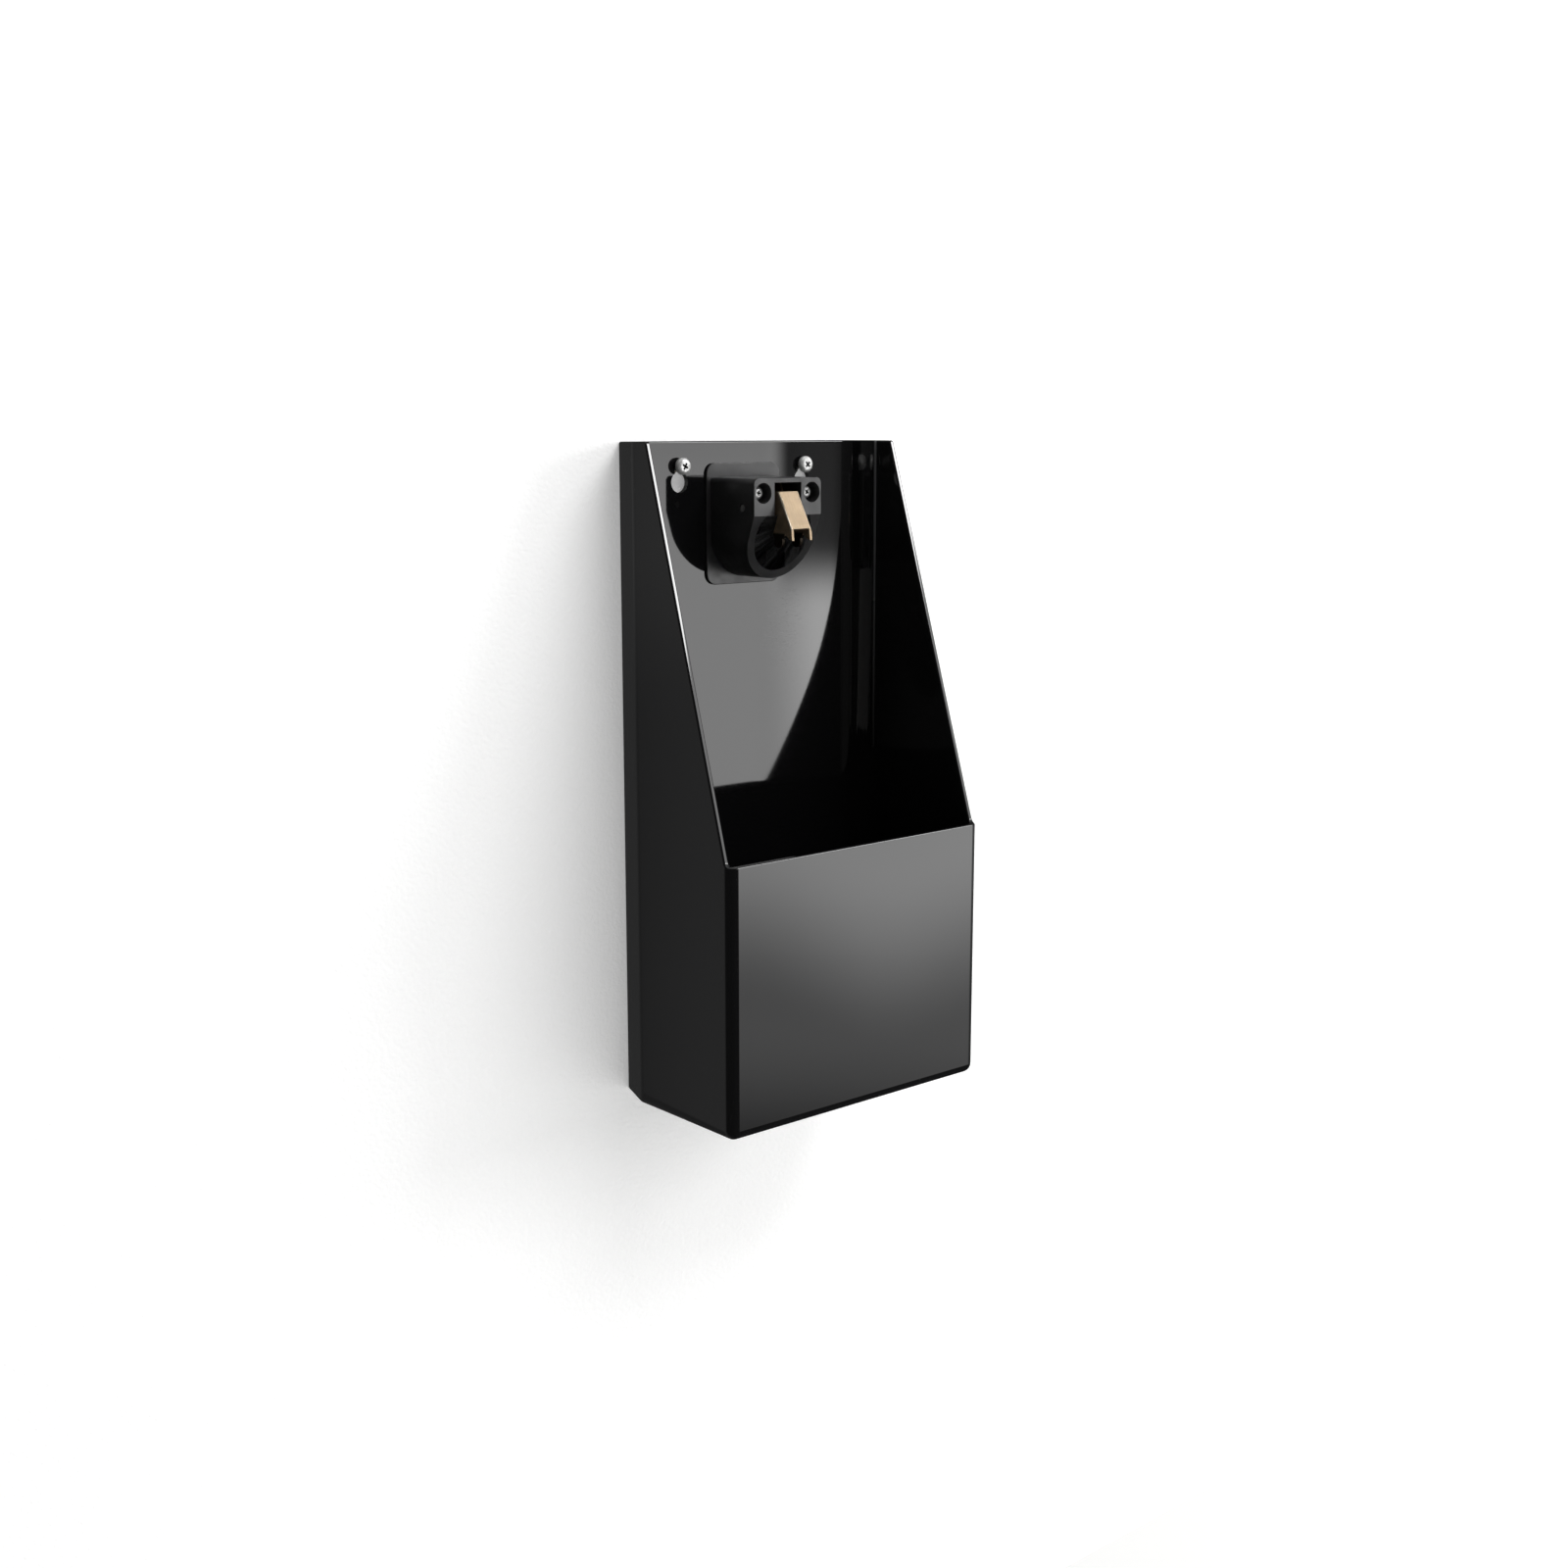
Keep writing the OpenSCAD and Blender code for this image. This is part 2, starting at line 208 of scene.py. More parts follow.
def modify(piece, kind, **settings):
    """Adds a modifier with these settings and applies it."""
    activate(piece)
    step = piece.modifiers.new("Step", kind)
    for key, value in settings.items():
        setattr(step, key, value)
    bpy.ops.object.modifier_apply(modifier=step.name)
    return piece


def place(piece, name):
    piece.name = name
    piece.data.name = name
    activate(piece)
    bpy.ops.object.transform_apply(location=True, rotation=True, scale=True)
    return piece


def block(name, low, high):
    deselect()
    low, high = Vector(low), Vector(high)
    bpy.ops.mesh.primitive_cube_add(size=1, location=(low + high) / 2)
    piece = bpy.context.active_object
    piece.scale = high - low
    return place(piece, name)


def rod(name, start, end, radius, sides=64, end_radius=None):
    deselect()
    start, end = Vector(start), Vector(end)
    turn = (end - start).to_track_quat("Z", "Y").to_euler()
    middle, reach = (start + end) / 2, (end - start).length
    if end_radius is None:
        bpy.ops.mesh.primitive_cylinder_add(
            vertices=sides, radius=radius, depth=reach, location=middle, rotation=turn
        )
    else:
        bpy.ops.mesh.primitive_cone_add(
            vertices=sides, radius1=radius, radius2=end_radius, depth=reach, location=middle, rotation=turn
        )
    return place(bpy.context.active_object, name)


def draw_line(name, outline):
    """Draws an outline point by point and closes it with a face; edit mode stays on."""
    deselect()
    bpy.ops.mesh.primitive_plane_add(size=0.001, location=outline[0])
    piece = place(bpy.context.active_object, name)
    edit(piece)
    bpy.ops.mesh.merge(type="CENTER")
    for before, after in zip(outline, outline[1:]):
        step = Vector(after) - Vector(before)
        bpy.ops.mesh.extrude_region_move(TRANSFORM_OT_translate={"value": step})
    bpy.ops.mesh.select_all(action="SELECT")
    bpy.ops.mesh.edge_face_add()
    return piece


def trace(name, outline, sweep):
    """Fills a closed outline and extrudes it along sweep."""
    piece = draw_line(name, outline)
    bpy.ops.mesh.extrude_region_move(TRANSFORM_OT_translate={"value": Vector(sweep)})
    bpy.ops.mesh.select_all(action="SELECT")
    bpy.ops.mesh.normals_make_consistent(inside=False)
    leave()
    return piece


def slice_off(piece, point, normal):
    """Cuts with a plane and drops what lies on the side the normal points to."""
    edit(piece)
    bpy.ops.mesh.bisect(
        plane_co=point, plane_no=Vector(normal).normalized(), use_fill=True, clear_outer=True
    )
    leave()
    return piece


def pick_edges(piece, wanted, crease=0.0):
    """Leaves edit mode on with only the edges selected that fold by the crease angle and are wanted(a, b)."""
    edit(piece, "EDGE", "DESELECT")
    mesh = bmesh.from_edit_mesh(piece.data)
    found = 0
    for edge in mesh.edges:
        a, b = (v.co for v in edge.verts)
        if wanted(a, b) and (not crease or edge.calc_face_angle(0.0) > crease):
            edge.select = True
            found += 1
    mesh.select_flush_mode()
    bmesh.update_edit_mesh(piece.data)
    if not found:
        raise RuntimeError(piece.name + ": no edge to round")


def pick_faces(piece, wanted):
    """Leaves edit mode on with only the faces for which wanted(face) is true selected."""
    edit(piece, "FACE", "DESELECT")
    mesh = bmesh.from_edit_mesh(piece.data)
    for face in mesh.faces:
        face.select = wanted(face)
    bmesh.update_edit_mesh(piece.data)


def round_edges(piece, wanted, width, segments=6, crease=0.0):
    pick_edges(piece, wanted, crease)
    bpy.ops.mesh.bevel(offset=width, segments=segments, profile=0.5, affect="EDGES")
    leave()
    return piece


def combine(piece, tool, how="DIFFERENCE"):
    modify(piece, "BOOLEAN", operation=how, object=tool, solver="EXACT")
    bpy.data.objects.remove(tool)
    return piece


def drill(piece, x, z, radius, sides=32, depths=THROUGH):
    """Bores a hole along Y at (x, z)."""
    return combine(piece, rod("bore", (x, depths[0], z), (x, depths[1], z), radius, sides))


def drill_across(piece, reach, radius):
    """Bores the pin's hole along X."""
    return combine(piece, rod("bore", (-reach, PIN_Y, PIN_Z), (reach, PIN_Y, PIN_Z), radius, 48))


def tidy_mesh(piece):
    edit(piece)
    bpy.ops.mesh.remove_doubles(threshold=1e-6)
    bpy.ops.mesh.dissolve_limited(angle_limit=math.radians(0.2), delimit={"NORMAL"})
    leave()
    return piece


def soften(piece, width, segments=3, angle=40, material=-1):
    return modify(
        piece, "BEVEL", width=width, segments=segments, limit_method="ANGLE",
        angle_limit=math.radians(angle), use_clamp_overlap=True, miter_outer="MITER_ARC",
        harden_normals=False, material=material,
    )


def smooth(piece, angle=35):
    activate(piece)
    bpy.ops.object.shade_smooth_by_angle(angle=math.radians(angle), keep_sharp_edges=False)
    return modify(piece, "WEIGHTED_NORMAL", keep_sharp=True, weight=100)


def twin(piece, name, shift, turn=0.0, axle=(0, 0)):
    """A copy with its own mesh, turned about an axle along Y at (x, z), then moved by shift."""
    activate(piece)
    bpy.ops.object.duplicate(linked=False)
    copy = bpy.context.active_object
    if turn:
        centre = Vector((axle[0], 0, axle[1]))
        copy.rotation_euler = (0, turn, 0)
        copy.location = centre - Matrix.Rotation(turn, 3, "Y") @ centre
        place(copy, name)
    copy.location = shift
    return place(copy, name)


def hand_over(piece, node, material):
    """Gives the piece its finish and lets it stand for its frame node."""
    piece.data.materials.clear()
    piece.data.materials.append(material)
    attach(piece, body_of(frame["nodes"][node])[0])
    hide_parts(node)
    return piece


# ---------------------------------------------------------------- finishes


class Graph:
    """A material's node tree, built one node at a time."""

    def __init__(self, name):
        self.material = bpy.data.materials.get(name) or bpy.data.materials.new(name)
        self.material.use_nodes = True
        self.tree = self.material.node_tree
        self.tree.nodes.clear()
        self.output = self.tree.nodes.new("ShaderNodeOutputMaterial")
        self.shader = self.tree.nodes.new("ShaderNodeBsdfPrincipled")
        self.link(self.shader.outputs[0], self.output.inputs["Surface"])
        self.place = self.node("ShaderNodeTexCoord").outputs["Object"]

    def node(self, kind, **settings):
        made = self.tree.nodes.new(kind)
        for key, value in settings.items():
            setattr(made, key, value)
        return made

    def link(self, source, target):
        self.tree.links.new(source, target)

    def fill(self, made, **values):
        for key, value in values.items():
            made.inputs[key.replace("_", " ")].default_value = value
        return made

    def set(self, **values):
        self.fill(self.shader, **values)

    def mapping(self, scale, turn=(0, 0, 0)):
        made = self.fill(self.node("ShaderNodeMapping"), Scale=scale, Rotation=turn)
        self.link(self.place, made.inputs["Vector"])
        return made.outputs[0]

    def noise(self, scale, detail=4.0, rough=0.5, vector=None):
        made = self.fill(self.node("ShaderNodeTexNoise"), Scale=scale, Detail=detail, Roughness=rough)
        self.link(vector or self.place, made.inputs["Vector"])
        return made.outputs["Fac"]

    def band(self, value, low, high, start=0.0, end=1.0):
        """A smooth step from start to end as value goes from low to high."""
        made = self.node("ShaderNodeMapRange", interpolation_type="SMOOTHSTEP")
        self.fill(made, From_Min=low, From_Max=high, To_Min=start, To_Max=end)
        self.link(value, made.inputs["Value"])
        return made.outputs[0]

    def math(self, kind, a, b=None):
        made = self.node("ShaderNodeMath", operation=kind)
        for socket, value in zip(made.inputs, (a, b)):
            if value is None:
                continue
            if isinstance(value, (int, float)):
                socket.default_value = value
            else:
                self.link(value, socket)
        return made.outputs[0]

    def times(self, *factors):
        product = factors[0]
        for factor in factors[1:]:
            product = self.math("MULTIPLY", product, factor)
        return product

    def plus(self, *terms):
        total = terms[0]
        for term in terms[1:]:
            total = self.math("ADD", total, term)
        return total

    def mix(self, fac, a, b):
        made = self.node("ShaderNodeMix", data_type="RGBA")
        for socket, value in ((made.inputs[0], fac), (made.inputs[6], a), (made.inputs[7], b)):
            if isinstance(value, (int, float)):
                socket.default_value = value
            elif isinstance(value, bpy.types.NodeSocket):
                self.link(value, socket)
            else:
                socket.default_value = (*tuple(value)[:3], 1.0)
        return made.outputs[2]

    def blend(self, fac, a, b):
        """The shader a, or b where fac is one."""
        made = self.node("ShaderNodeMixShader")
        for source, socket in zip((fac, a, b), made.inputs):
            self.link(source, socket)
        return made.outputs[0]

    def bump(self, height, strength, distance, after=None):
        made = self.fill(self.node("ShaderNodeBump"), Strength=strength, Distance=distance)
        self.link(height, made.inputs["Height"])
        if after is not None:
            self.link(after, made.inputs["Normal"])
        return made.outputs[0]

    def shade(self, tone, span, dark, light):
        """Base colour that runs from dark to light as tone crosses span."""
        self.link(self.mix(self.band(tone, *span), dark, light), self.shader.inputs["Base Color"])

    def dull(self, tone, span, low, high):
        """Roughness that runs from low to high as tone crosses span."""
        self.link(self.band(tone, *span, low, high), self.shader.inputs["Roughness"])

    def relief(self, height, strength, distance, after=None):
        self.link(self.bump(height, strength, distance, after), self.shader.inputs["Normal"])

    def length(self, a, b):
        return self.math("SQRT", self.plus(self.times(a, a), self.times(b, b)))

    def split(self, vector=None):
        made = self.node("ShaderNodeSeparateXYZ")
        self.link(vector or self.place, made.inputs[0])
        return made.outputs


def scaled(colour, factor):
    return tuple(min(1.0, c * factor) for c in colour)


def gloss_black(colour, size):
    g = Graph("catcher_plastic")
    g.set(IOR=1.6)
    haze = g.band(g.noise(9.0, 3.0), 0.35, 0.75, 0.03, 0.055)
    # fine scuffs where caps drop past the opener
    x, y, z = g.split()
    across = g.band(g.math("ABSOLUTE", g.plus(x, -0.028)), 0.0, 0.030, 1.0, 0.0)
    down = g.band(g.math("ABSOLUTE", g.plus(z, 0.088)), 0.0, 0.050, 1.0, 0.0)
    inner = g.band(y, -0.012, -0.0075, 0.0, 1.0)
    where = g.times(across, down, inner)
    strokes = g.noise(1.0, 6.0, 0.65, g.mapping((260.0, 200.0, 2600.0), (0, 0.5, 0)))
    marks = g.times(g.band(strokes, 0.48, 0.72), where)
    rough = g.plus(haze, g.times(marks, 0.22))
    # the beads inside the rear creases are painted a lighter grey, a painted highlight along each crease, and
    # made rougher than the walls
    crease, turn = catcher_plan(size, size.wall)[1:5:3]
    aside = g.math("SUBTRACT", g.math("ABSOLUTE", x), crease)
    behind = g.plus(y, turn)
    off = g.length(aside, behind)
    bead = g.band(off, size.bead_radius * 1.02, size.bead_radius * 1.12, 1.0, 0.0)
    bead = g.times(bead, g.band(z, -0.175, 0.01))
    rough = g.math("MAXIMUM", rough, g.times(bead, 0.5))
    g.link(rough, g.shader.inputs["Roughness"])
    scuffed = g.mix(marks, colour, (0.05, 0.05, 0.05))
    # the scuffs are lighter wear marks; the beads' lighter grey is the painted highlight along the rear
    # creases
    g.link(g.mix(bead, scuffed, (0.05, 0.05, 0.052)), g.shader.inputs["Base Color"])
    ripple = g.bump(g.noise(28.0, 1.0, 0.4), 0.12, 0.00012, back_warp(g, x, y, z))
    g.relief(g.noise(2200.0, 2.0), 0.05, 0.00002, ripple)
    return g.material


def back_warp(g, x, y, z):
    """The moulding's back panel is slightly dished towards its right side."""
    facing = g.node("ShaderNodeNewGeometry").outputs["Normal"]
    front = g.band(g.split(facing)[1], -0.97, -0.99)
    panel = g.times(front, g.band(y, -0.0072, -0.0064))
    past = g.plus(x, -0.007)
    eased = g.math("SQRT", g.plus(g.times(past, past), 0.005 ** 2))
    lean = g.times(g.plus(past, eased), -1.85)
    droop = g.band(z, -0.175, -0.110, 0.017, 0.0)
    tilt = g.node("ShaderNodeCombineXYZ")
    lean = g.times(lean, g.band(z, -0.215, -0.050, 0.65, 1.0))
    g.link(g.times(lean, panel), tilt.inputs[0])
    g.link(g.times(droop, panel), tilt.inputs[2])
    add = g.node("ShaderNodeVectorMath", operation="ADD")
    g.link(facing, add.inputs[0])
    g.link(tilt.outputs[0], add.inputs[1])
    even = g.node("ShaderNodeVectorMath", operation="NORMALIZE")
    g.link(add.outputs[0], even.inputs[0])
    return even.outputs[0]


def satin_black(colour):
    g = Graph("opener_plastic")
    g.set(IOR=1.6)
    flow = g.noise(60.0, 5.0)
    g.shade(flow, (0.3, 0.7), scaled(colour, 0.8), scaled(colour, 1.35))
    g.dull(g.noise(140.0, 4.0), (0.3, 0.75), 0.30, 0.42)
    g.relief(flow, 0.04, 0.0001, g.bump(g.noise(2600.0, 3.0, 0.6), 0.16, 0.00003))
    return g.material


def passivated(colour, name="claw_steel", streak=1.0, rough=(0.40, 0.56)):
    g = Graph(name)
    g.set(Metallic=0.85)
    # a painted shade on the hooked feet: they are painted near black and made rougher so they catch no
    # highlight
    _, y, z = g.split()
    below = g.band(z, PIN_Z - 0.0140, PIN_Z - 0.0125, 1.0, 0.0)
    foot = g.times(below, g.band(y, PIN_Y - 0.0160, PIN_Y - 0.0150))
    lines = g.noise(1.0, 4.0, 0.6, g.mapping((2400.0, 120.0, 120.0)))
    cloud = g.noise(160.0, 3.0)
    tone = g.plus(g.times(lines, 0.45), g.times(cloud, 0.55))
    steel = g.mix(g.band(tone, 0.35, 0.65), scaled(colour, 0.82), scaled(colour, 1.15))
    # the near-black colour of the feet is painted shade
    g.link(g.mix(foot, steel, scaled(colour, 0.06)), g.shader.inputs["Base Color"])
    feet_roughness = g.times(foot, 0.6)
    g.link(g.math("MAXIMUM", g.band(tone, 0.3, 0.7, *rough), feet_roughness), g.shader.inputs["Roughness"])
    g.relief(lines, 0.09 * streak, 0.00003)
    return g.material


# a painted highlight: a lighter steel colour for the claw's rounded edges, sheared cheek faces and fold
# outsides
def edge_highlight_steel(colour):
    g = Graph("claw_edge_highlight")
    g.set(Metallic=1.0)
    lines = g.noise(1.0, 5.0, 0.7, g.mapping((500.0, 3000.0, 3000.0)))
    g.shade(lines, (0.35, 0.7), scaled(colour, 0.85), scaled(colour, 1.08))
    g.dull(lines, (0.3, 0.7), 0.34, 0.48)
    g.relief(lines, 0.15, 0.00003)
    return g.material


def zinc_plate(colour, name, x_at, z_at, front, radius):
    """Zinc plating with painted shade in the driver recess of a head at (x_at, z_at), on either side of the
    middle.
    """
    g = Graph(name)
    g.set(Metallic=0.6)
    x, y, z = g.split()
    aside = g.math("SUBTRACT", g.math("ABSOLUTE", x), x_at)
    above = g.math("SUBTRACT", z, z_at)
    middle = g.band(g.length(aside, above), radius * 0.60, radius * 0.66, 1.0, 0.0)
    # painted shade: near black inside the driver recess
    inner = g.times(middle, g.band(y, front + 0.0002, front + 0.0005))
    spots = g.noise(420.0, 4.0)
    plate = g.mix(g.band(spots, 0.4, 0.68), colour, scaled(colour, 0.72))
    g.link(g.mix(inner, plate, scaled(colour, 0.06)), g.shader.inputs["Base Color"])
    g.dull(g.noise(700.0, 3.0), (0.3, 0.7), 0.36, 0.5)
    g.relief(spots, 0.12, 0.00004)
    return g.material


def nylon(colour, name="plug_nylon"):
    g = Graph(name)
    g.set(IOR=1.53, Subsurface_Weight=0.05)
    flow = g.noise(180.0, 4.0)
    g.shade(flow, (0.3, 0.7), scaled(colour, 0.9), scaled(colour, 1.08))
    g.dull(flow, (0.3, 0.7), 0.42, 0.55)
    g.relief(g.noise(1500.0, 2.0), 0.2, 0.00004)
    return g.material


def turned_brass(colour):
    g = Graph("insert_brass")
    g.set(Metallic=1.0)
    rings = g.noise(1.0, 3.0, 0.5, g.mapping((60.0, 3000.0, 60.0)))
    g.shade(rings, (0.35, 0.65), scaled(colour, 0.8), scaled(colour, 1.1))
    g.dull(rings, (0.3, 0.7), 0.2, 0.34)
    g.relief(rings, 0.2, 0.00003)
    return g.material


# ---------------------------------------------------------------- pieces


def catcher_plan(size, inset):
    """Half widths at the back, crease and front, with the crease's depth, at an inset from the outside."""
    k1 = (size.crease_width - size.back_width) / 2 / size.chamfer_depth
    k2 = (size.width - size.crease_width) / 2 / (size.depth - size.chamfer_depth)
    s1, s2 = math.hypot(1, k1), math.hypot(1, k2)
    back = size.standoff + inset if inset else 0.0
    front = size.depth - inset
    first = size.back_width / 2 + k1 * back - inset * s1
    turn = (
        size.crease_width / 2 - k2 * size.chamfer_depth - size.back_width / 2 + inset * (s1 - s2)
    ) / (k1 - k2)
    crease = size.back_width / 2 + k1 * turn - inset * s1
    last = size.crease_width / 2 + k2 * (front - size.chamfer_depth) - inset * s2
    return first, crease, last, back, turn, front


def catcher_body(name, size, inset, grow):
    """The catcher's outside, or with an inset the space inside it."""
    first, crease, last, back, turn, front = catcher_plan(size, inset)
    low, top = SHELL_LOW.z + inset, SHELL_HIGH.z + grow
    outline = [
        (-first, -back, low), (-crease, -turn, low), (-last, -front, low),
        (last, -front, low), (crease, -turn, low), (first, -back, low),
    ]
    piece = trace(name, outline, (0, 0, top - low))
    radius = size.corner_radius - inset

    def upright(a, b):
        return abs(a.x - b.x) < NEAR and abs(a.y - b.y) < NEAR

    def creases(a, b):
        return upright(a, b) and (abs(a.y + turn) < NEAR or (inset and abs(a.y + back) < NEAR))

    def corners(a, b):
        front_edge = upright(a, b) and abs(a.y + front) < NEAR
        floor = abs(a.z - low) < NEAR and abs(b.z - low) < NEAR
        on_front = abs(a.y + front) < NEAR and abs(b.y + front) < NEAR
        on_side = abs(a.y - b.y) > 0.03
        return front_edge or (floor and (on_front or on_side))

    round_edges(piece, creases, 0.004 if inset else 0.002, 6)
    round_edges(piece, corners, radius, 8)
    return piece


class CATCHER_OT_shell(bpy.types.Operator):
    """Model the moulded catcher with its keyholes, rear ribs and rounded open edge"""

    bl_idname = "cap_catcher.shell"
    bl_label = "Catcher"

    def execute(self, context):
        size = context.scene.catcher_sizes
        colour = context.scene.catcher_finish
        top, low = SHELL_HIGH.z, SHELL_LOW.z
        front = size.depth - size.wall
        foot = size.depth - size.foot_in
        shell = catcher_body("catcher", size, 0.0, 0.0)
        front_top = low + size.front_height
        wide = size.width
        # what is cut away above the sloping sides, down to the front panel's edge
        cutter = trace(
            "cutter",
            [
                (-wide, -size.lip_depth, top), (-wide, -foot, front_top),
                (-wide, -size.depth - 0.01, front_top), (-wide, -size.depth - 0.01, top + 0.01),
                (-wide, -size.lip_depth, top + 0.01),
            ],
            (2 * wide, 0, 0),
        )
        round_edges(
            cutter,
            lambda a, b: abs(a.y + foot) < NEAR and abs(b.y + foot) < NEAR
            and abs(a.z - front_top) < NEAR and abs(b.z - front_top) < NEAR,
            0.0022, 5,
        )
        combine(shell, cutter)
        combine(shell, catcher_body("cavity", size, size.wall, 0.02))
        crease, turn = catcher_plan(size, size.wall)[1:5:3]
        rim = size.back_width / 2 - size.wall * 1.06
        recess = block("recess", (-rim, -size.standoff, low + size.wall), (rim, 0.002, top - size.wall))
        round_edges(recess, lambda a, b: abs(a.y - b.y) > 0.003, 0.002, 4)
        combine(shell, recess)
        rib_front = -size.standoff - OVERLAP
        bead_top = top - 0.0005
        for side in (-1, 1):
            middle, half = side * rim * RIB_PLACE, RIB_THICKNESS / 2
            rib = block(
                "rib", (middle - half, rib_front, low + size.wall - OVERLAP),
                (middle + half, RIB_BACK, top - size.wall - 0.036),
            )
            combine(shell, rib, "UNION")
            bead = rod(
                "bead", (side * crease, -turn, bead_top - size.bead_length), (side * crease, -turn, bead_top),
                size.bead_radius, 24,
            )
            round_edges(bead, lambda a, b: abs(a.z - b.z) < 1e-6, size.bead_radius * 0.7, 4)
            combine(shell, bead, "UNION")
            x = side * SCREW_X
            combine(shell, rod("pad", (x, rib_front, SCREW_Z), (x, RIB_BACK, SCREW_Z), PAD_RADIUS), "UNION")
        for share in RIB_LEVELS:
            level = low + (top - low) * share
            reach = rim + OVERLAP
            rib = block("rib", (-reach, rib_front, level), (reach, RIB_BACK, level + RIB_THICKNESS))
            combine(shell, rib, "UNION")
        for side in (-1, 1):
            combine(shell, self.keyhole(side * FIX_X, size))
            drill(shell, side * SCREW_X, SCREW_Z, INSERT_RADIUS + FIXED_FIT)
        tidy_mesh(shell)

        slope = (top - front_top) / (foot - size.lip_depth)

        def on_slope(v):
            line = top - (-v.y - size.lip_depth) * slope
            straight = abs(v.z - line) < 2 * TOUCH and v.z > front_top + 0.0015
            curve = abs(v.y + foot + 0.0007) < 0.0017 and front_top - TOUCH < v.z < front_top + 0.0024
            ledge = v.y < -foot + 0.0002 and abs(v.z - front_top) < TOUCH
            return straight or curve or ledge

        def open_edge(a, b):
            flat_top = abs(a.z - top) < TOUCH and abs(b.z - top) < TOUCH
            panel = abs(a.z - front_top) < TOUCH and abs(b.z - front_top) < TOUCH and a.y < -front + TOUCH
            return flat_top or panel or on_slope(a) and on_slope(b)

        round_edges(shell, open_edge, size.lip_round, 4, math.radians(40))
        smooth(shell, 30)
        hand_over(shell, "catcher_shell", gloss_black(colour.catcher, size))
        return {"FINISHED"}

    @staticmethod
    def keyhole(x, size):
        """A round entry with a slot above it that ends just over the screw's shank."""
        near, far = THROUGH
        peak = SHANK_RADIUS + 0.0003 - size.slot_radius
        hole = rod("hole", (x, near, -size.lift), (x, far, -size.lift), size.entry_radius, 48)
        slot = rod("slot", (x, near, peak), (x, far, peak), size.slot_radius, 48)
        neck = block("neck", (x - size.slot_radius, near, -size.lift), (x + size.slot_radius, far, peak))
        combine(hole, neck, "UNION")
        return combine(hole, slot, "UNION")


def cross_cutter(name, width, thick, depth, front, x, z, turn):
    """A cross-shaped driver tip that narrows towards its point, turned about its axis."""
    blades = []
    for flat in (True, False):
        half_x, half_z = (width / 2, thick / 2) if flat else (thick / 2, width / 2)
        blade = block(name, (-half_x, -0.002, -half_z), (half_x, depth, half_z))
        pick_faces(blade, lambda face: face.normal.y > 0.9)
        squeeze = (0.4, 1, 0.75) if flat else (0.75, 1, 0.4)
        bpy.ops.transform.resize(value=squeeze, center_override=(0, depth, 0))
        leave()
        blades.append(blade)
    tip = combine(blades[0], blades[1], "UNION")
    tip.rotation_euler = (0, turn, 0)
    tip.location = (x, front, z)
    return place(tip, name)


def pan_head(name, x, z, front, back, radius, turn):
    """A pan head with a domed edge and a cross recess, facing the viewer."""
    head = rod(name, (x, front, z), (x, back, z), radius, 64)
    height = back - front
    round_edges(head, lambda a, b: abs(a.y - front) < TOUCH and abs(b.y - front) < TOUCH, height * 0.72, 8)
    combine(head, cross_cutter("driver", radius * 1.25, radius * 0.30, height * 0.66, front, x, z, turn))
    return tidy_mesh(head)


def thread(name, x, z, start, end, core, crest, pitch):
    """A helical ridge of triangular section, made with the screw modifier."""
    section = [(core, 0, 0), (crest, 0, pitch * 0.32), (core, 0, pitch * 0.64)]
    ridge = draw_line(name, section)
    bpy.ops.mesh.delete(type="ONLY_FACE")
    leave()
    turns = int((end - start) / pitch) - 1
    modify(
        ridge, "SCREW", axis="Z", angle=math.radians(360), screw_offset=pitch, iterations=turns,
        steps=16, render_steps=16, use_merge_vertices=False,
    )
    ridge.rotation_euler = (math.radians(-90), 0, 0)
    ridge.location = (x, start, z)
    place(ridge, name)
    edit(ridge)
    bpy.ops.mesh.remove_doubles(threshold=1e-6)
    bpy.ops.mesh.select_all(action="DESELECT")
    bpy.ops.mesh.select_non_manifold()
    bpy.ops.mesh.edge_face_add()
    bpy.ops.mesh.select_all(action="SELECT")
    bpy.ops.mesh.normals_make_consistent(inside=False)
    leave()
    return ridge


def join(piece, *others):
    deselect()
    for other in others:
        other.select_set(True)
    piece.select_set(True)
    bpy.context.view_layer.objects.active = piece
    bpy.ops.object.join()
    return piece


class CATCHER_OT_wall_screws(bpy.types.Operator):
    """Model one wall screw and copy it to the other side"""

    bl_idname = "cap_catcher.wall_screws"
    bl_label = "Wall screws"

    def execute(self, context):
        size = context.scene.catcher_sizes
        colour = context.scene.catcher_finish
        front, tip = FIX_LOW.y, FIX_HIGH.y
        seat = front + size.screw_head
        radius, core, plain = (FIX_HIGH.z - FIX_LOW.z) / 2, 0.00195, 0.009
        head = pan_head("wall_screw_r", FIX_X, 0, front, seat, radius, math.radians(45))
        shank = rod("shank", (FIX_X, seat - 0.0002, 0), (FIX_X, tip - 0.006, 0), core, 32)
        point = rod("point", (FIX_X, tip - 0.0062, 0), (FIX_X, tip, 0), core, 32, 0.0003)
        collar = rod("collar", (FIX_X, seat - 0.0002, 0), (FIX_X, seat + plain, 0), SHANK_RADIUS, 32)
        for part in (collar, shank, point):
            combine(head, part, "UNION")
        smooth(head, 32)
        ridge = thread("ridge", FIX_X, 0, seat + plain, tip - 0.005, 0.0019, SHANK_RADIUS, 0.0018)
        smooth(ridge, 25)
        join(head, ridge)
        metal = zinc_plate(colour.zinc, "wall_screw_zinc", FIX_X, 0.0, front, radius)
        left = twin(head, "wall_screw_l", (-2 * FIX_X, 0, 0), math.radians(-17), (FIX_X, 0))
        hand_over(head, "wall_screw_right", metal)
        hand_over(left, "wall_screw_left", metal)
        return {"FINISHED"}


